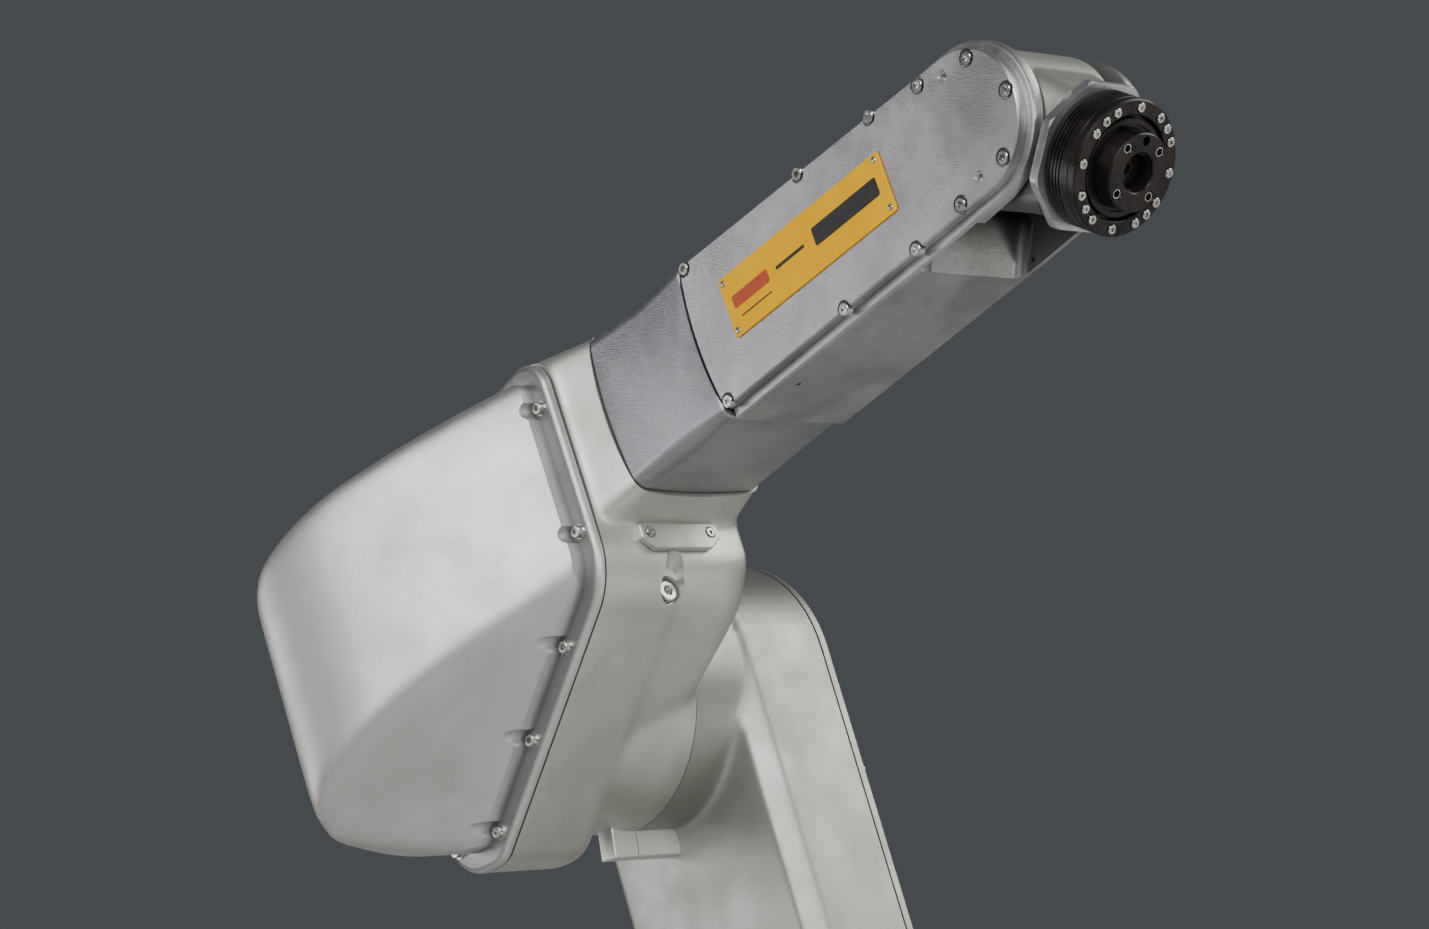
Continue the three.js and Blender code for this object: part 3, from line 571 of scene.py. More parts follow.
MATERIALS = {
    "cast_aluminium": cast_aluminium(),
    "machined_aluminium": machined_aluminium(),
    "steel": finish(
        "turned_steel", (0.46, 0.45, 0.44), (0.70, 0.69, 0.67), (120, 3),
        (700, 4, 0.6), (0.2, 0.36), (700, 4, 0.6), (0.00005, 0.4), metallic=1),
    "black_gearbox": black_oxide(),
    "rubber": black_rubber("black_rubber"),
    "yellow_plate": finish(
        "yellow_enamel", (0.86, 0.44, 0.0), (0.95, 0.51, 0.0), (30,),
        (110, 5), (0.42, 0.58), (600, 3), (0.00004, 0.4), specular=0.02),
    "motor_black": finish(
        "dark_casting", (0.030, 0.031, 0.034), (0.055, 0.056, 0.06), (60,),
        (150,), (0.42, 0.6), (900, 3), (0.0001, 0.5), metallic=0.3),
    "connector_black": black_rubber("connector_black"),
    "brass": finish(
        "turned_brass", (0.50, 0.34, 0.12), (0.66, 0.47, 0.2), (80,),
        (300,), (0.25, 0.4), (900, 3), (0.00004, 0.4), metallic=1),
}
# Lighter and darker copies of one aluminium, per part: painted light and shade. The covers and the elbow are
# painted lighter as lit; the lower arm, the forearm's rear and the fork are painted darker as shaded.
COVER_ALUMINIUM = cast_aluminium(
    "cover_aluminium", (0.60, 0.585, 0.57), (0.70, 0.685, 0.68), (0.53, 0.52, 0.50), foot_painted_shade)
ELBOW_ALUMINIUM = cast_aluminium(
    "elbow_aluminium", (0.59, 0.59, 0.545), (0.74, 0.74, 0.70), (0.46, 0.46, 0.42))
REAR_ALUMINIUM = machined_aluminium("rear_aluminium", (0.29, 0.295, 0.31), (0.39, 0.395, 0.42))
ARM_ALUMINIUM = cast_aluminium(
    "arm_aluminium", (0.40, 0.40, 0.37), (0.51, 0.51, 0.48), (0.34, 0.34, 0.31))
FORK_ALUMINIUM = machined_aluminium(
    "fork_aluminium", (0.34, 0.33, 0.33), (0.53, 0.52, 0.525), wrist_painted_shade)
WRIST_ALUMINIUM = cast_aluminium("wrist_aluminium", shade_mask=underside_painted_shade)
# A much lighter copy for the stop lugs: a painted highlight where the lugs catch the light.
HIGHLIGHT_ALUMINIUM = cast_aluminium(
    "highlight_aluminium", (0.84, 0.84, 0.82), (0.93, 0.93, 0.91), (0.78, 0.78, 0.76))
INK_DARK = finish(
    "ink_dark", (0.012, 0.012, 0.012), (0.03, 0.028, 0.026), (300,), (150, 3), (0.4, 0.55))
INK_RED = finish("ink_red", (0.42, 0.05, 0.01), (0.52, 0.075, 0.015), (300,), (150, 3), (0.4, 0.55))


# ---- pieces

def smooth_shaded(mesh, limit):
    """Smooth faces with sharp edges where two faces turn by more than a limit in degrees."""
    bm = bmesh.new()
    bm.from_mesh(mesh)
    for face in bm.faces:
        face.smooth = True
    for edge in bm.edges:
        edge.smooth = len(edge.link_faces) == 2 and edge.calc_face_angle(0) < radians(limit)
    bm.to_mesh(mesh)
    bm.free()


def piece(obj, name, body, slot, nodes=(), material=None, limit=32):
    """Names a finished solid, places it in the row frame and hands it to its body."""
    obj.name = name
    obj.data.name = name
    obj.data.transform(FRAMES[body])
    smooth_shaded(obj.data, limit)
    obj.data.materials.clear()
    obj.data.materials.append(material or MATERIALS[slot])
    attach(obj, body)
    if nodes:
        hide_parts(*nodes)


def copies(source, places):
    """One object of many copies of a solid, each placed by a matrix; the solid itself is removed."""
    bm = bmesh.new()
    for place in places:
        first = len(bm.verts)
        bm.from_mesh(source.data)
        bm.verts.ensure_lookup_table()
        bmesh.ops.transform(bm, matrix=place, verts=bm.verts[first:])
    bpy.data.objects.remove(source)
    return mesh_object("copies", bm)


def cap_screw(head=4.25, height=5, socket=2.05, washer=0):
    """A socket-head cap screw seated at the origin, its head towards -Y; socket is half across flats."""
    knurl = bar("Y", head, -height, 0, sides=48, bevel=0.45)
    corner = socket / cos(pi / 6)
    screw = cut(knurl, bar("Y", corner, -height - 1, -height * 0.42, sides=6))
    if washer:
        screw = join(screw, bar("Y", washer, -1, 0.2, sides=48, bevel=0.15))
    return screw


# Turns that bring a screw's head from -Y to another direction, in degrees.
FACING = {"-Y": 0, "+Y": 180, "+X": 90, "-X": -90}
SMALL_SCREW = {"head": 3.4, "socket": 1.6}
COVER_SCREW = {"head": 4.3, "height": 5.2}
WASHER = 5.4


def screws_at(places, facing="-Y", **sizes):
    """Copies of a cap screw, each seated at a point and turned a little differently."""
    matrices = []
    turn = Matrix.Rotation(radians(FACING[facing]), 4, "Z")
    for index, place in enumerate(places):
        spin = Matrix.Rotation(radians((index * 37) % 60), 4, "Y")
        matrices.append(Matrix.Translation(place) @ turn @ spin)
    return copies(cap_screw(**sizes), matrices)


def fasten(name, body, places, facing="-Y", **sizes):
    piece(screws_at(places, facing, **sizes), name, body, "steel")


# ---- elbow

# Places along the dome's ridge: x, y, and the two heights between which it is flat.
ELBOW_CROWN = [
    (152, -87.5, 27, 168), (140, -97, 20, 166), (112, -127, 12, 160), (75, -159, 1, 151),
    (30, -190, -22, 138), (-15, -207, -44, 118), (-38, -204, -62, 102), (-50, -188, -78, 92),
]
BEYOND_CROWN = (190, -57, 46, 176)
ELBOW_SCREW_GUIDES = [
    (160, 148), (160, 54), (114, -8), (54, -50), (-6, -92), (-57, -88), (105, 180),
    (28, 168), (-45, 140), (-60, 70), (-60, -10),
]
DISH_STEP, DISH_BOW = 1.4, 0.00184
PLUG_Y, PLUG_Z = -14, 13


def dished(radius):
    """How far the neck's front stands at a radius about the fourth axis, deepest in the middle."""
    return NECK_FRONT - DISH_STEP + DISH_BOW * (radius ** 2 - NECK_FAR ** 2)


def dish_tool(shift, end):
    """A ring turned about the fourth axis, between the dished surface and a flat end."""
    inner, outer, steps = 20, 100, 16
    radii = [inner + (outer - inner) * step / steps for step in range(steps + 1)]
    return lathe([(dished(r) + shift, r) for r in radii] + [(end, outer), (end, inner)])


def stop_lug(y0, y1, angle):
    """A lug on a round boss, at an angle in the side plane from straight up, forwards."""
    inner, outer, half = 84, 113.5, 8
    lug = block(-half, half, y0, y1, inner, outer)
    lug.data.transform(Matrix.Rotation(radians(angle), 4, "Y"))
    return lug


def elbow_body():
    face, near, far, high = ELBOW_FACE, ELBOW_FLANGE, NECK_FAR, NECK_HIGH
    body = hull(
        ring_y(ELBOW_OUTLINE, near - 16), ring_y(ELBOW_OUTLINE, -8),
        ring_y(inset(ELBOW_OUTLINE, 10), 4))
    side_block = hull(
        ring_y([(60, -40, 20), (face, 30, 20), (face, 184, 20), (30, 176, 20)], -20),
        ring_y([(60, -30, 20), (168, 40, 20), (168, 182, 20), (40, 172, 20)], 4),
        ring_y([(114, 30, 12), (face, 40, 12), (face, high, 12), (102, high - 4, 12)], 50),
        ring_y([(124, 46, 12), (face, 52, 12), (face, high, 12), (112, high - 6, 12)], far),
    )
    neck = hull(
        ring_x(140, near - 14, far, 44, 188, 14),
        ring_x(168, near + 0.5, far, 57, 187, 14),
        ring_x(NECK_FRONT + 16, NECK_NEAR + 6.7, far, NECK_LOW + 2, high, 8),
    )
    shoulder = hull(
        ring_y([(4, -95, 12), (face, 18, 44), (face, 100, 10), (60, 100, 10)], -8),
        ring_y([(70, -54, 14), (152, 2, 30), (face, 26, 26), (face, 100, 10), (98, 100, 10)], 40),
        ring_y([(122, -12, 14), (152, 6, 26), (face, 30, 26), (face, 100, 10), (122, 100, 10)], far),
    )
    flare = bar("Y", 82, -10, 34, sides=96, last=BOSS)
    drum = bar("Y", BOSS, 33, JOINT_PLANE + 12, sides=96)
    return join(body, side_block, shoulder, neck, flare, drum)


def elbow_hollow():
    """The tools for the elbow's inside, with the bores of the third and fourth joints."""
    room = [(64, 78, 8), (158, 78, 8), (158, 172, 8), (64, 164, 8)]
    neck_room = [(122, 80, 6), (158, 80, 6), (158, 170, 6), (122, 168, 6)]
    return [
        prism_y(inset(ELBOW_OUTLINE, 16), ELBOW_FLANGE - 20, -4),
        hull(ring_y(room, -60), ring_y(room, -10), ring_y(neck_room, 44)),
        bar("X", 46.3, 150, NECK_FRONT + 20, 0, RISE, sides=96),
        bar("Y", 78, 4, JOINT_PLANE + 20),
        bar("Y", 38, -10, 10),
    ]


def neck_lip():
    """A thin rim round the neck's front, below, above and on the far side."""
    return hull(*[
        ring_x(NECK_FRONT + x, NECK_NEAR + 2, NECK_FAR + grow,
               NECK_LOW - grow, NECK_HIGH + grow, 8)
        for x, grow in ((-4, -0.4), (-3, 0.9), (6, 0.9))
    ])


def plug_hole():
    """The tools for the plug's round recess, the finger scallop above it and its hole."""
    recess = turned("X", ((176, 12.5), (151, 9)), PLUG_Y, PLUG_Z, 48)
    scallop = hull(*[
        disc("X", x, radius, PLUG_Y + y, PLUG_Z + z, 40)
        for x, y, z, radius in ((172, 2, 17, 7.5), (158, 1, 8, 7.5), (172, 0, 0, 9))])
    return [recess, scallop, bar("X", 8, 145, 180, PLUG_Y, PLUG_Z, sides=40)]


def make_elbow_lug():
    lug = soften(stop_lug(24, JOINT_PLANE + 14, 167 + PITCH), 0.9, 6)
    lug = cut(lug, block(-200, 200, JOINT_PLANE - GAP, 90, -250, 260), bar("Y", 89, 0, 90))
    piece(lug, "elbow_stop_lug", "elbow", "cast_aluminium", material=HIGHLIGHT_ALUMINIUM)


def make_elbow_casting():
    trims = [
        block(-200, 250, -120, ELBOW_FLANGE, -250, 260),
        block(NECK_FRONT + 6, 260, -100, 100, 0, 260),
        block(-160, 118, JOINT_PLANE - GAP, 90, -250, 260),
    ]
    casting = cut(soften(elbow_body(), 2.0, 44), *trims)
    dish = dish_tool(0, NECK_FRONT + 60)
    dish.data.transform(Matrix.Translation((0, 0, RISE)))
    casting = cut(join(casting, neck_lip()), dish)
    casting = cut(casting, *plug_hole(), *elbow_hollow())
    piece(casting, "elbow_body", "elbow", "cast_aluminium", ["elbow_casting"], ELBOW_ALUMINIUM)


def make_elbow_pad():
    corners = [(-41, 43, 1.5), (-31, 35, 3), (19, 35, 3), (29, 43, 1.5), (29, 54, 2.5), (-41, 54, 2.5)]
    holes = [(-33, 47), (21, 47)]
    pad = hull(*[
        [(x, y, z) for y, z in outline(inset(corners, edge), 5)]
        for x, edge in ((171.35, 0), (175.4, 0), (176.3, 0.9))
    ])
    pad = cut(pad, *bars("X", 4.4, 174.6, 180, holes, sides=40))
    piece(pad, "elbow_pad_plate", "elbow", "cast_aluminium", ["elbow_pad"])
    seats = [(174.7, y, z) for y, z in holes]
    fasten("elbow_pad_screws", "elbow", seats, "+X", height=2.4, **SMALL_SCREW)


def make_elbow_plug():
    plug = cut(
        bar("X", 7.6, 146, 155.5, PLUG_Y, PLUG_Z, sides=48, bevel=0.9),
        bar("X", 4.2, 150, 160, PLUG_Y, PLUG_Z, sides=6))
    piece(plug, "elbow_hex_plug", "elbow", "steel", ["elbow_plug"])


def spline(stations, steps=8):
    """More stations on a smooth curve through the given ones."""
    padded = [stations[0], *stations, stations[-1]]
    curve = []
    for before, start, end, after in zip(padded, padded[1:], padded[2:], padded[3:]):
        for step in range(steps):
            t = step / steps
            curve.append(tuple(
                0.5 * (2 * b + (c - a) * t + (2 * a - 5 * b + 4 * c - d) * t * t
                       + (3 * b - a - 3 * c + d) * t ** 3)
                for a, b, c, d in zip(before, start, end, after)))
    return curve + [stations[-1]]


def crown_points(crown, margin=0, push=0):
    """The dome's highest points, drawn in by a margin or pushed out a little."""
    middle, reach = 45, 95
    shrink = 1 - margin / reach
    points = []
    for x, y, low, high in spline(crown):
        for z in (low + margin - push, high - margin + push):
            points.append((middle + (x - middle) * shrink, y + margin * 1.2 - push, z))
    return points


def rounded_flange(corners, near, far, radius, steps=14):
    """A flat flange whose near edge is round."""
    rings = [ring_y(corners, far, steps)]
    for turn in (0, 22.5, 45, 67.5, 90):
        angle = radians(turn)
        edge = radius * (1 - cos(angle))
        rings.append(ring_y(inset(corners, edge), near + radius * (1 - sin(angle)), steps))
    return hull(*rings)


def make_elbow_cover():
    far, seat = ELBOW_COVER_FAR, ELBOW_COVER_SEAT
    places = along_outline(ELBOW_OUTLINE, SCREW_LINE, ELBOW_SCREW_GUIDES)
    inside = inset(ELBOW_OUTLINE, COVER_RIM + 9)
    foot = inset(ELBOW_OUTLINE, COVER_RIM - 1)
    dome = hull(
        ring_y(inset(ELBOW_OUTLINE, -8), seat + 60),
        crown_points([BEYOND_CROWN, *ELBOW_CROWN], -1.5, 2))
    dome = boolean(soften(dome, 2.6, 130), "INTERSECT", [prism_y(foot, -260, seat + 3, steps=14)])
    dome = cut(dome, *bars("Y", 7.9, seat - 60, seat + 8, places, sides=48))
    cover = join(dome, rounded_flange(ELBOW_OUTLINE, seat, far, 4.6))
    cover = cut(
        cover,
        hull(ring_y(inside, seat + 2), ring_y(inside, seat - 4), crown_points(ELBOW_CROWN, 9)),
        prism_y(inset(ELBOW_OUTLINE, COVER_RIM + 8), seat - 1, far + 1))
    piece(cover, "elbow_domed_cover", "elbow", "cast_aluminium", ["elbow_motor_cover"], COVER_ALUMINIUM)
    seats = [(x, seat + 0.1, z) for x, z in places]
    fasten("elbow_cover_screws", "elbow", seats, washer=WASHER, **COVER_SCREW)


# ---- lower arm

ARM_OUTLINE = box_corners(-97, 97, -97, ARM_LENGTH + 97, 97)
ARM_NEAR, ARM_FAR = 85, 170
ARM_SCREW_HEIGHTS = [32] + [-93 - 125 * step for step in range(5)]


def make_lower_arm_lug():
    lug = stop_lug(JOINT_PLANE - 8, ARM_NEAR + 8, 167 + LEAN)
    lug.data.transform(Matrix.Translation((0, 0, ARM_LENGTH)))
    lug = cut(
        soften(lug, 0.9, 6), block(-200, 200, 0, JOINT_PLANE + GAP, -200, 800),
        bar("Y", BOSS, 0, ARM_NEAR + 20, 0, ARM_LENGTH))
    piece(lug, "lower_arm_stop_lug", "lower_arm", "cast_aluminium", material=HIGHLIGHT_ALUMINIUM)


def make_lower_arm():
    ends = [(0, 0), (0, ARM_LENGTH)]
    body = hull(
        ring_y(inset(ARM_OUTLINE, 12), ARM_NEAR, 16), ring_y(ARM_OUTLINE, ARM_NEAR + 14, 16),
        ring_y(ARM_OUTLINE, ARM_FAR + 12, 16))
    bosses = bars("Y", BOSS, JOINT_PLANE - 10, ARM_NEAR + 8, ends, sides=96)
    casting = cut(
        soften(join(body, *bosses), 2.2, 18),
        block(-200, 200, 0, JOINT_PLANE + GAP, -200, 800),
        block(-200, 200, ARM_FAR, 260, -200, 800),
    )
    bores = bars("Y", 34, JOINT_PLANE - 1, ARM_NEAR + 20, ends, sides=72)
    casting = cut(casting, prism_y(inset(ARM_OUTLINE, 15), ARM_NEAR + 11, ARM_FAR + 1, 16), *bores)
    piece(casting, "lower_arm_body", "lower_arm", "cast_aluminium", ["lower_arm_casting"], ARM_ALUMINIUM)


def make_lower_arm_cover():
    near = ARM_FAR + GAP + GASKET + GAP
    far = near + 6.5
    sunk = far - 1.2
    plate = prism_y(ARM_OUTLINE, near, far, 20, far_bevel=1.2)
    guides = [(90, ARM_LENGTH + height) for height in ARM_SCREW_HEIGHTS]
    guides += [(45, ARM_LENGTH + 78), (-45, ARM_LENGTH + 78), (45, -78), (-45, -78)]
    guides += [(-x, z) for x, z in guides if x == 90]
    places = along_outline(ARM_OUTLINE, 8, guides)
    plate = cut(plate, *bars("Y", 6, sunk, far + 4, places, sides=48))
    raised = prism_y(inset(ARM_OUTLINE, 18), far - 1, far + 2.2, 20, far_bevel=1.6)
    piece(join(plate, raised), "lower_arm_side_cover", "lower_arm", "cast_aluminium",
          ["lower_arm_cover"], ARM_ALUMINIUM)
    fasten("lower_arm_cover_screws", "lower_arm", [(x, sunk, z) for x, z in places], "+Y")


# ---- forearm

COVER_SCREWS = [
    (41.7, 0), (21.5, 35.7), (21.5, -35.7), (-22.8, 43.1), (-22.8, -43.1), (-69.4, 48.6), (-69.4, -48.6),
    (-142.9, 50), (-142.9, -50), (-266.7, 50), (-266.7, -50),
]
COVER_DEPTH = 8
COVER_HALF, COVER_BOW, COVER_END = 53, 6, 48
COVER_PINS = [(-1.4, -36.2), (-1.4, 36.2)]
BELT_PULLEYS = [(0, 30), (-165, 20)]
DIAGONALS = [pi / 4 + pi / 2 * k for k in range(4)]


def cover_ring(margin, y):
    """The forearm cover's edge: a shallow arc at the back, round at the wrist."""
    half, end, steps = COVER_HALF - margin, COVER_END - margin, 24
    back = []
    for step in range(steps + 1):
        z = half * (1 - step / (steps / 2))
        back.append((FORE_SEAM + 2 + margin - COVER_BOW * (1 - (z / COVER_HALF) ** 2), z))
    front = [(x, z) for x, z in circle(end, 120) if x >= 0]
    return [(x, y, z) for x, z in back + [(0, -end), (0, end)] + front]


def make_forearm_rear():
    back = NECK_FRONT - REACH - 20
    front = FORE_SEAM - GAP
    middle = ring_x(-318, -55, 55, -61, 57, 14)
    casting = join(
        hull(ring_x(back, -56, 56, -60, 56, 8), middle),
        hull(middle, ring_x(front - 1.5, -53, 53, -58, 56, 8), ring_x(front, -52, 52, -57, 55, 7)))
    casting = cut(
        casting, bar("X", 44, -400, front + 1), dish_tool(1.5 - REACH, -440),
        hull(cover_ring(-1.5, -60), cover_ring(-1.5, -FORE_HALF + COVER_DEPTH)))
    piece(casting, "forearm_rear_body", "forearm", "machined_aluminium", ["forearm_rear_casting"],
          REAR_ALUMINIUM, limit=14)


def belt_channel(margin, y0, y1):
    """The room round the belt and its two pulleys."""
    return hull(*[
        ring_y(round_corners(x, 0, radius + margin), y, 10)
        for x, radius in BELT_PULLEYS for y in (y0, y1)
    ])


def waist_ring(y0, y1):
    """The forearm's outline where the arms of the fork begin."""
    return ring_x(-60, y0, y1, -57, 55.5, 3)


def fork_arms(near):
    """The near arm of the fork ends in a full half-circle, the far arm is smaller and ends lower."""
    radius, far_radius, x, z = NEAR_ARM_RADIUS, FAR_ARM_RADIUS, FAR_ARM_X, FAR_ARM_Z
    half, edge = FORE_HALF, 2.4
    near_rims = [
        (near, radius - edge), (near + edge * 0.3, radius - edge * 0.3),
        (near + edge, radius), (0, radius),
    ]
    far_rims = [(0, far_radius), (half - 1, far_radius), (half, far_radius - 1)]
    near_arm = hull(waist_ring(near, 4), *[disc("Y", y, r, sides=120) for y, r in near_rims])
    far_arm = hull(waist_ring(-4, half), *[disc("Y", y, r, x, z, 120) for y, r in far_rims])
    return near_arm, far_arm


def fork_space():
    """The space between the fork's arms: round behind the wrist, open in front, with a ramp below."""
    ramp_foot, slope, fillet = -80, 0.694, 9
    near, far = -NEAR_ARM_INSIDE, FAR_ARM_INSIDE
    space = join(bar("Y", 62.5, near, far, sides=120), block(0, 70, near, far, -80, 80))
    ramp_rings = []
    for z, foot in ((-70, ramp_foot - 13 * slope), (-12, ramp_foot + 45 * slope)):
        corners = [(0, near, 3), (60 - foot, near, 1), (60 - foot, far, 1), (0, far, fillet)]
        ramp_rings.append([(x + foot, y, z) for x, y in outline(corners, 10)])
    stations = ((-86, -18, -43.6, -66), (-79, -22, -43.6, -56), (-66, -40, near - 0.1, -40))
    thin_edge = hull(*[
        [(x, y, z) for x in (x0, x1) for y in (depth, -30)] for x0, x1, depth, z in stations])
    return space, hull(*ramp_rings), thin_edge


def make_forearm_casting():
    half, inside = FORE_HALF, NEAR_ARM_INSIDE
    near, back, edge = COVER_DEPTH - half, FORE_SEAM + GAP, 1.4
    low, high = FORE_BOTTOM, FORE_TOP
    body = join(
        hull(
            ring_x(back, near + edge, half - edge, low + edge, high - edge, 3),
            ring_x(back + edge, near, half, low, high, 3), waist_ring(near, half)),
        *fork_arms(near),
    )
    body = join(
        cut(body, *fork_space()),
        bar("Y", FAR_ARM_BOSS, inside, half - 1, sides=96, bevel=1),
        *[bar("Y", 20, y0, y1) for y0, y1 in ((-inside - 1, -26), (26, inside + 1))],
    )
    motor_room = block(back + 12, -96, near - 1, 42, -44, 44)
    bores = [bar("X", 30, back - 1, back + 20), bar("Y", 14.6, -60, 60), bar("Y", 30, inside + 8, 60)]
    drillings = [
        bar("Y", 1.7, 40, 50, -65, -51.5, sides=24),
        bar("Z", 1.6, -70, -50, -223, -30, sides=24),
    ]
    body = cut(body, motor_room, belt_channel(5, near - 1, -39.6), *bores, *drillings)
    piece(body, "forearm_body", "forearm", "machined_aluminium", ["forearm_casting"], FORK_ALUMINIUM)


def make_wrist_cap():
    places = on_circle(20, DIAGONALS)
    cap = turned("Y", ((45.2, 29.5), (55.2, 29.5), (56.2, 28.4)))
    cap = cut(cap, *bars("Y", 4.2, 52, 60, places), bar("Y", 9, 55, 60))
    piece(cap, "wrist_far_cap", "forearm", "machined_aluminium", ["wrist_bearing_cap"])
    seats = [(x, 52, z) for x, z in places]
    fasten("wrist_cap_screws", "forearm", seats, "+Y", height=3.6, **SMALL_SCREW)


def make_forearm_cover():
    outside = -FORE_HALF
    inside = outside + COVER_DEPTH - GAP
    cover = hull(cover_ring(0.9, outside), cover_ring(0, outside + 0.9), cover_ring(0, inside))
    cover = cut(
        cover, belt_channel(4, outside + 4.6, inside + 1),
        *bars("Y", 6.1, outside - 1, outside + 4.5, COVER_SCREWS, sides=48),
        *bars("Y", 2.4, outside - 1, outside + 4, COVER_PINS),
        *bars("Y", 4.6, outside - 1, outside + 1.4, COVER_PINS, sides=40, last=3.4))
    piece(cover, "forearm_side_cover", "forearm", "machined_aluminium", ["forearm_cover"])
    for index, (x, z) in enumerate(COVER_SCREWS):
        screw = screws_at([(0, outside + 4.4, 0)], **COVER_SCREW)
        screw.data.transform(Matrix.Translation((x, 0, z)) @ Matrix.Rotation(index * 0.6, 4, "Y"))
        piece(screw, f"forearm_cap_screw_{index + 1}", "forearm", "steel",
              [f"forearm_cover_screw_{index + 1}"])


# Printed bars on the plate: their two ends, half height, height above the middle line and corners.
DARK_BARS = [(-146, -80, 6.5, 0, 1.8), (-186, -156, 1.2, 0, 1.08), (-228, -196, 0.5, -11.5, 0)]
RED_BARS = [(-232, -194, 4.6, 0, 1.8)]


def make_name_plate():
    back = -FORE_HALF - GAP
    front = back - 1.2
    x0, x1, z0, z1 = -239.5, -71.5, -18.3, 24.7
    rivets = [(x, z) for x in (x0 + 4.2, x1 - 4.2) for z in (z0 + 4.2, z1 - 4.2)]
    plate = prism_y(box_corners(x0, x1, z0, z1, 2.2), front, back, near_bevel=0.3)
    plate = cut(plate, *bars("Y", 1.2, front - 1, back + 1, rivets, sides=24))
    piece(plate, "plain_name_plate", "forearm", "yellow_plate", ["name_plate"])
    head = turned("Y", ((0.6, 2.3), (0, 2.3), (-0.7, 1.9), (-1.1, 1.1)), sides=32)
    heads = copies(head, [Matrix.Translation((x, front - 0.1, z)) for x, z in rivets])
    piece(heads, "name_plate_rivets", "forearm", "steel")
    inks = (("plate_dark_bars", DARK_BARS, INK_DARK), ("plate_red_bar", RED_BARS, INK_RED))
    for name, printed, ink in inks:
        solids = []
        for start, end, half, height, radius in printed:
            middle = (z0 + z1) / 2 + 1 + height
            corners = box_corners(start, end, middle - half, middle + half, radius)
            solids.append(prism_y(corners, front - 0.12, front + 0.2))
        piece(join(*solids), name, "forearm", "yellow_plate", material=ink)


# ---- wrist

WRIST_HALF = 35.5
RING_FLATS = 46.6  # from the axis to each of the ring's eight flats
GEARBOX_BACK, GEARBOX_FRONT, GEARBOX_RADIUS = 66.8, 92.7, 43.5
GROOVES = (70.2, 73.0, 75.8, 78.6)
SCREW_CIRCLE = 38.3
FLANGE_FACE = 104
FLANGE_HOLES = 20  # radius of the circle of threaded holes
FLANGE_HOLE = 3


def make_wrist():
    half = WRIST_HALF
    barrel = bar("Y", 50, -half, half, sides=120, bevel=1.5)
    nose = hull(ring_x(10, -half, half, -46, 46, 10), ring_x(62, -half, half, -40, 40, 14))
    tools = [bar("Y", 29.6, y0, y1) for y0, y1 in ((-36.5, -24), (24, 36.5))]
    tools += [bar("Y", 14.3, -25, 25), bar("X", 26, 20, 61), block(59.7, 70, -60, 60, -60, 60)]
    casting = cut(soften(join(barrel, nose), 1.1, 8), *tools)
    piece(casting, "wrist_body", "wrist", "cast_aluminium", ["wrist_casting"], WRIST_ALUMINIUM)


def make_wrist_ring():
    eighths = [pi / 8 + pi / 4 * k for k in range(8)]
    corners = on_circle(RING_FLATS / cos(pi / 8), eighths)
    octagon = hull([(x, a, b) for x in (60, 66.5) for a, b in corners])
    rim = turned("X", ((59.9, 49.2), (60.7, 50), (65.3, 50), (66.6, 48.8)), sides=144)
    ring = cut(boolean(octagon, "INTERSECT", [rim]), bar("X", 26, 49, 70))
    piece(ring, "wrist_eight_flat_ring", "wrist", "machined_aluminium", ["wrist_flat_ring"])


def make_wrist_gearbox():
    back, front, radius = GEARBOX_BACK, GEARBOX_FRONT, GEARBOX_RADIUS
    profile = shifted(back, [(0, 26), (0, radius - 0.9), (0.9, radius)])
    for x in GROOVES:
        profile += shifted(x, [(0, radius), (0.25, radius - 1), (0.95, radius - 1), (1.2, radius)])
    profile += shifted(front, [
        (-6.8, radius), (-6.3, 43.0), (-5.7, 43.0), (-5.2, radius), (-1.2, radius), (0, 42.4), (0, 34.1),
        (-0.6, 33.5), (-6, 33.5), (-6, 29), (-10, 29), (-10, 26),
    ])
    angles = [radians(a + b) for a in (0, 90, 180, 270) for b in (0, 30, 45, 60)]
    places = on_circle(SCREW_CIRCLE, angles)
    gearbox = cut(lathe(profile, 144), *bars("X", 3.4, front - 2.2, front + 1, places))
    piece(gearbox, "wrist_gearbox_body", "wrist", "black_gearbox", ["j6_gearbox"])
    seats = [(front - 2.2, y, z) for y, z in places]
    fasten("gearbox_ring_screws", "wrist", seats, "+X", head=3.1, height=3.6, socket=1.3)


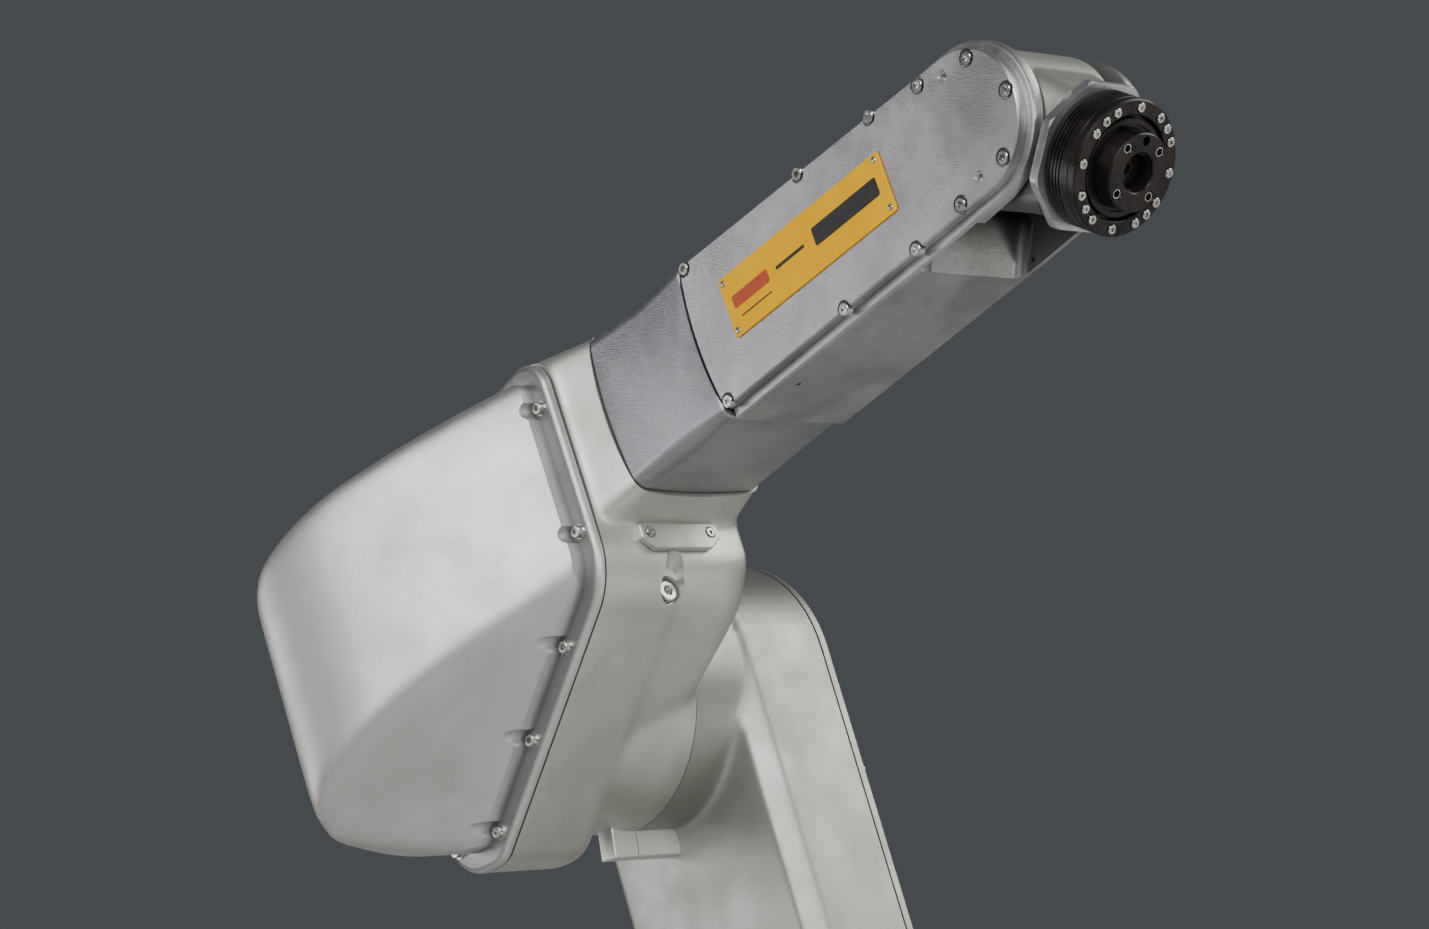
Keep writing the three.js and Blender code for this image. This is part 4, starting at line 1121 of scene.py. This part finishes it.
def make_tool_flange():
    front, face = GEARBOX_FRONT, FLANGE_FACE
    profile = [(30, 0), (30, 22)]
    profile += shifted(front, [
        (-13, 22), (-13, 25), (-5.7, 25), (-5.7, 31.5), (-1.6, 31.5), (-1, 30.9), (-1, 27.6),
        (-2.4, 27.2), (-2.4, 25.6), (-1, 25),
    ])
    profile += shifted(face, [
        (-0.9, 25), (0, 24.1), (0, 13.4), (-0.9, 12.5), (-4, 12.5), (-4, 11.2), (-12, 11.2), (-12, 4),
        (-14.5, 3), (-14.5, 0),
    ])
    places = on_circle(FLANGE_HOLES, DIAGONALS)
    holes = bars("X", FLANGE_HOLE, face - 10, face + 1, places)
    holes += bars("X", FLANGE_HOLE + 0.5, face - 0.6, face + 1, places, last=FLANGE_HOLE + 1.3)
    dowel_hole = bar("X", FLANGE_HOLE, face - 8, face + 1, 0, FLANGE_HOLES, sides=32)
    flange = cut(lathe(profile, 144), *holes, dowel_hole)
    piece(flange, "tool_flange_disc", "tool_flange", "black_gearbox", ["tool_flange"])
    inserts = [
        cut(outer, inner) for outer, inner in zip(
            bars("X", FLANGE_HOLE - 0.02, face - 9, face - 0.7, places),
            bars("X", FLANGE_HOLE - 0.6, face - 10, face, places))]
    piece(join(*inserts), "flange_thread_inserts", "tool_flange", "steel")


# ---- turret

def turret_crown(margin=0):
    """The flat top of the turret's dome, drawn in by a margin."""
    return ring_y(inset(TURRET_COVER, 28 + margin), TURRET_CROWN + margin)


def make_turret():
    foot = bar("Z", 134, TURRET_FOOT - 12, TURRET_FOOT + 26, sides=120)
    low = [(x, y, TURRET_FOOT + 24) for x, y in outline(box_corners(-112, 122, -61, 42, 40), 12)]
    drum_rings = [ring_y(round_corners(SX, SZ, 106), y, 16) for y in (-40, 30)]
    drum = bar("Y", 110, -45, JOINT_PLANE + 12, SX, SZ, sides=120)
    flange = prism_y(TURRET_COVER, TURRET_NEAR - 14, -38)
    casting = cut(
        soften(join(foot, hull(low, *drum_rings), drum, flange), 2.4, 16),
        block(-300, 400, -160, TURRET_NEAR, 0, 800),
        block(-300, 400, JOINT_PLANE - GAP, 120, 230, 800),
        block(-300, 300, -200, 200, 100, TURRET_FOOT),
    )
    casting = cut(
        casting,
        prism_y(inset(TURRET_COVER, 14), TURRET_NEAR - 1, 8),
        bar("Y", 69, 16, JOINT_PLANE + 1, SX, SZ),
        bar("Y", 42, 0, 20, SX, SZ),
        bar("Z", 34, TURRET_FOOT - 1, SZ - 40, 60, -12),
    )
    piece(casting, "turret_body", "turret", "cast_aluminium", ["turret_casting"])


def make_turret_cover():
    far = TURRET_NEAR - GAP - GASKET - GAP
    seat = far - 8
    foot = inset(TURRET_COVER, COVER_RIM)
    inner = inset(TURRET_COVER, COVER_RIM + 9)
    guides = [(x, z) for x, z, _ in TURRET_COVER]
    guides += [(SX + 96, SZ), (SX, SZ + 96), (SX - 100, SZ + 20), (SX + 40, SZ - 98)]
    places = along_outline(TURRET_COVER, SCREW_LINE, guides)
    dome = soften(hull(ring_y(foot, seat + 22), ring_y(foot, seat), turret_crown()), 2.4, 34)
    dome = cut(dome, block(-300, 500, seat + 3, 90, 0, 900))
    dome = cut(dome, *bars("Y", 7.6, seat - 60, seat + 8, places, sides=48, last=7.2))
    cover = join(dome, prism_y(TURRET_COVER, seat, far, 14, near_bevel=1.1))
    cover = cut(cover, hull(ring_y(inner, seat + 2), turret_crown(9)), prism_y(inner, seat - 1, far + 1))
    piece(cover, "turret_domed_cover", "turret", "cast_aluminium", ["j2_motor_cover"], COVER_ALUMINIUM)
    seats = [(x, seat + 0.1, z) for x, z in places]
    fasten("turret_cover_screws", "turret", seats, washer=WASHER, **COVER_SCREW)


# ---- base

BASE_HALF = 200
MOUNTING_HOLES = 160  # from the middle to each hole, both ways
PANEL_REAR = -232 - GAP
PANEL_DEPTH = 5
# Name, radius, place across and up, length and material slot.
CONNECTORS = [
    ("power_connector", 22, -36, 84, 26, "connector_black"),
    ("signal_connector", 17, 22, 84, 24, "connector_black"),
    ("air_inlet_fitting", 8, 55, 100, 22, "brass"),
    ("purge_air_fitting", 8, 55, 66, 22, "brass"),
    ("ground_stud", 4, -52, 44, 14, "brass"),
]


def make_base():
    plate = hull(*[
        [(x, y, z) for x, y in outline(box_corners(-half, half, -half, half, 14), 10)]
        for z, half in ((0, BASE_HALF - 1), (1, BASE_HALF), (22, BASE_HALF), (25, BASE_HALF - 3))
    ])
    drum = bar("Z", 150, 10, 182, sides=120, last=128)
    box = hull(ring_x(-244, -75, 75, 12, 132, 6), ring_x(-90, -95, 95, 12, 145, 6))
    casting = cut(
        soften(join(drum, box), 2.4, 12),
        block(-300, 300, -300, 300, -10, 20), block(-300, 300, -300, 300, 170, 260),
        block(-300, -232, -200, 200, 0, 200))
    sides = (-MOUNTING_HOLES, MOUNTING_HOLES)
    places = [(x, y) for x in sides for y in sides]
    casting = cut(
        join(casting, plate),
        *bars("Z", 9, -1, 26, places, sides=48), *bars("Z", 17, 23.5, 30, places, sides=48),
        bar("Z", 136, 12, 148, sides=72, last=118), bar("Z", 101, 140, 171),
        block(-233, -90, -66, 66, 12, 122))
    piece(casting, "base_body", "base", "cast_aluminium", ["base_casting"])


def make_connector_panel():
    rear, face = PANEL_REAR, PANEL_REAR - PANEL_DEPTH
    panel = hull(*[
        ring_x(x, e - 72, 72 - e, 28 + e, 129 - e, 5, 6)
        for x, e in ((rear, 0), (face + 0.7, 0), (face, 0.7))
    ])
    panel = cut(panel, *[
        bar("X", radius * 0.6, face - 1, rear + 1, y, z, sides=40)
        for _, radius, y, z, _, _ in CONNECTORS
    ])
    piece(panel, "rear_connector_panel", "base", "machined_aluminium", ["connector_plate"])
    places = [(face, y, z) for y in (-65, 65) for z in (35, 122)]
    fasten("connector_panel_screws", "base", places, "-X", height=3.2, **SMALL_SCREW)


def plug_socket(root, face, tip, radius):
    """A round plastic connector with a ribbed grip and an open front."""
    grip = radius * 0.86
    profile = root + shifted(face, [(0, radius), (-4, radius), (-4.6, grip)])
    profile += shifted(tip, [
        (8, grip), (7.4, radius), (1.2, radius), (0, radius - 1.2), (0, radius * 0.7),
        (1.5, radius * 0.66), (1.5, 0),
    ])
    ribs = on_circle(radius, [tau * k / 16 for k in range(16)])
    return cut(lathe(profile, 48), *bars("X", 1.1, tip - 1, tip + 6.8, ribs, sides=12))


def hex_fitting(root, face, tip, radius):
    """A brass fitting: a hexagon with a narrower round end."""
    length = face - tip
    solid = lathe(root + [
        (face, radius), (face - length * 0.45, radius), (face - length * 0.5, radius * 0.7),
        (tip + 1, radius * 0.7), (tip, radius * 0.6), (tip, 0),
    ], 48)
    hexagon = bar("X", radius * 1.03, PANEL_REAR + 13, tip - 1, sides=6)
    hexagon.data.transform(Matrix.Rotation(0.2, 4, "X"))
    return boolean(solid, "INTERSECT", [hexagon])


def make_connectors():
    face = PANEL_REAR - PANEL_DEPTH - GAP
    for name, radius, y, z, length, slot in CONNECTORS:
        root = [(PANEL_REAR + 12, 0), (PANEL_REAR + 12, radius * 0.5), (face, radius * 0.5)]
        shape = hex_fitting if slot == "brass" else plug_socket
        solid = shape(root, face, face - length, radius)
        solid.data.transform(Matrix.Translation((0, y, z)))
        piece(solid, f"{name}_body", "base", slot, [name])


# ---- the CAD nodes that stay

def dress_cad_nodes():
    slots = {part["node"]: part["material_slot"] for part in frame["record"]["subparts"]}
    for name, obj in NODES.items():
        material = MATERIALS[slots[name]]
        if not obj.material_slots:
            obj.data.materials.append(material)
        for material_slot in obj.material_slots:
            material_slot.material = material


# ---- studio

BACKGROUND = (0.068, 0.075, 0.080, 1)
FLOOR_RADIUS = 6
ROBOT_MIDDLE = (0.1, 0, 1.1)
# Place, target, size, power in watts and colour.
LIGHTS = {
    "key_softbox": ((0.9, -2.9, 2.5), ROBOT_MIDDLE, (2.2, 2.2), 58, (1, 0.985, 0.98)),
    "left_softbox": ((-2.6, -2.4, 0.7), (0.1, 0, 0.8), (1.8, 1.3), 24, (0.98, 0.985, 1)),
    "right_softbox": ((1.5, 2.2, 3.1), ROBOT_MIDDLE, (1.9, 1.9), 51, (1, 1, 0.96)),
    "floor_light": ((2.4, -0.3, 1.6), (1.6, 0.1, 0), (1.2, 1.2), 27, (1, 1, 1)),
    "front_softbox": ((1.7, -1.7, 2.8), (0, 0, 0.9), (0.6, 0.6), 25, (1, 1, 1)),
    "low_fill": ((2.6, 1.6, 0.5), (0.4, 0, 1.25), (0.7, 0.5), 6.5, (1, 1, 0.93)),
}


def make_light(name, location, target, size, power, colour):
    data = bpy.data.lights.new(name, "AREA")
    data.shape = "RECTANGLE"
    data.size, data.size_y = size
    data.energy = power
    data.color = colour
    light = new_object(name, data)
    light.location = location
    look_at(light, target)


def make_floor():
    bm = bmesh.new()
    bmesh.ops.create_circle(bm, cap_ends=True, segments=96, radius=FLOOR_RADIUS)
    floor = mesh_object("floor", bm)
    s = Shader("floor")
    s.set("Base Color", s.mix(s.spread(s.noise(3), 0, 1), (0.50, 0.50, 0.49), (0.54, 0.54, 0.53)))
    s.set("Roughness", 0.7)
    floor.data.materials.append(s.material)


def make_studio():
    world = bpy.data.worlds.new("studio")
    world.use_nodes = True
    world.node_tree.nodes["Background"].inputs["Color"].default_value = BACKGROUND
    SCENE.world = world
    for name, settings in LIGHTS.items():
        make_light(name, *settings)
    make_floor()


dress_cad_nodes()
make_elbow_casting()
make_elbow_lug()
make_elbow_pad()
make_elbow_plug()
make_elbow_cover()
make_lower_arm()
make_lower_arm_lug()
make_lower_arm_cover()
make_forearm_rear()
make_forearm_casting()
make_wrist_cap()
make_forearm_cover()
make_name_plate()
make_wrist()
make_wrist_ring()
make_wrist_gearbox()
make_tool_flange()
make_turret()
make_turret_cover()
make_base()
make_connector_panel()
make_connectors()
make_studio()
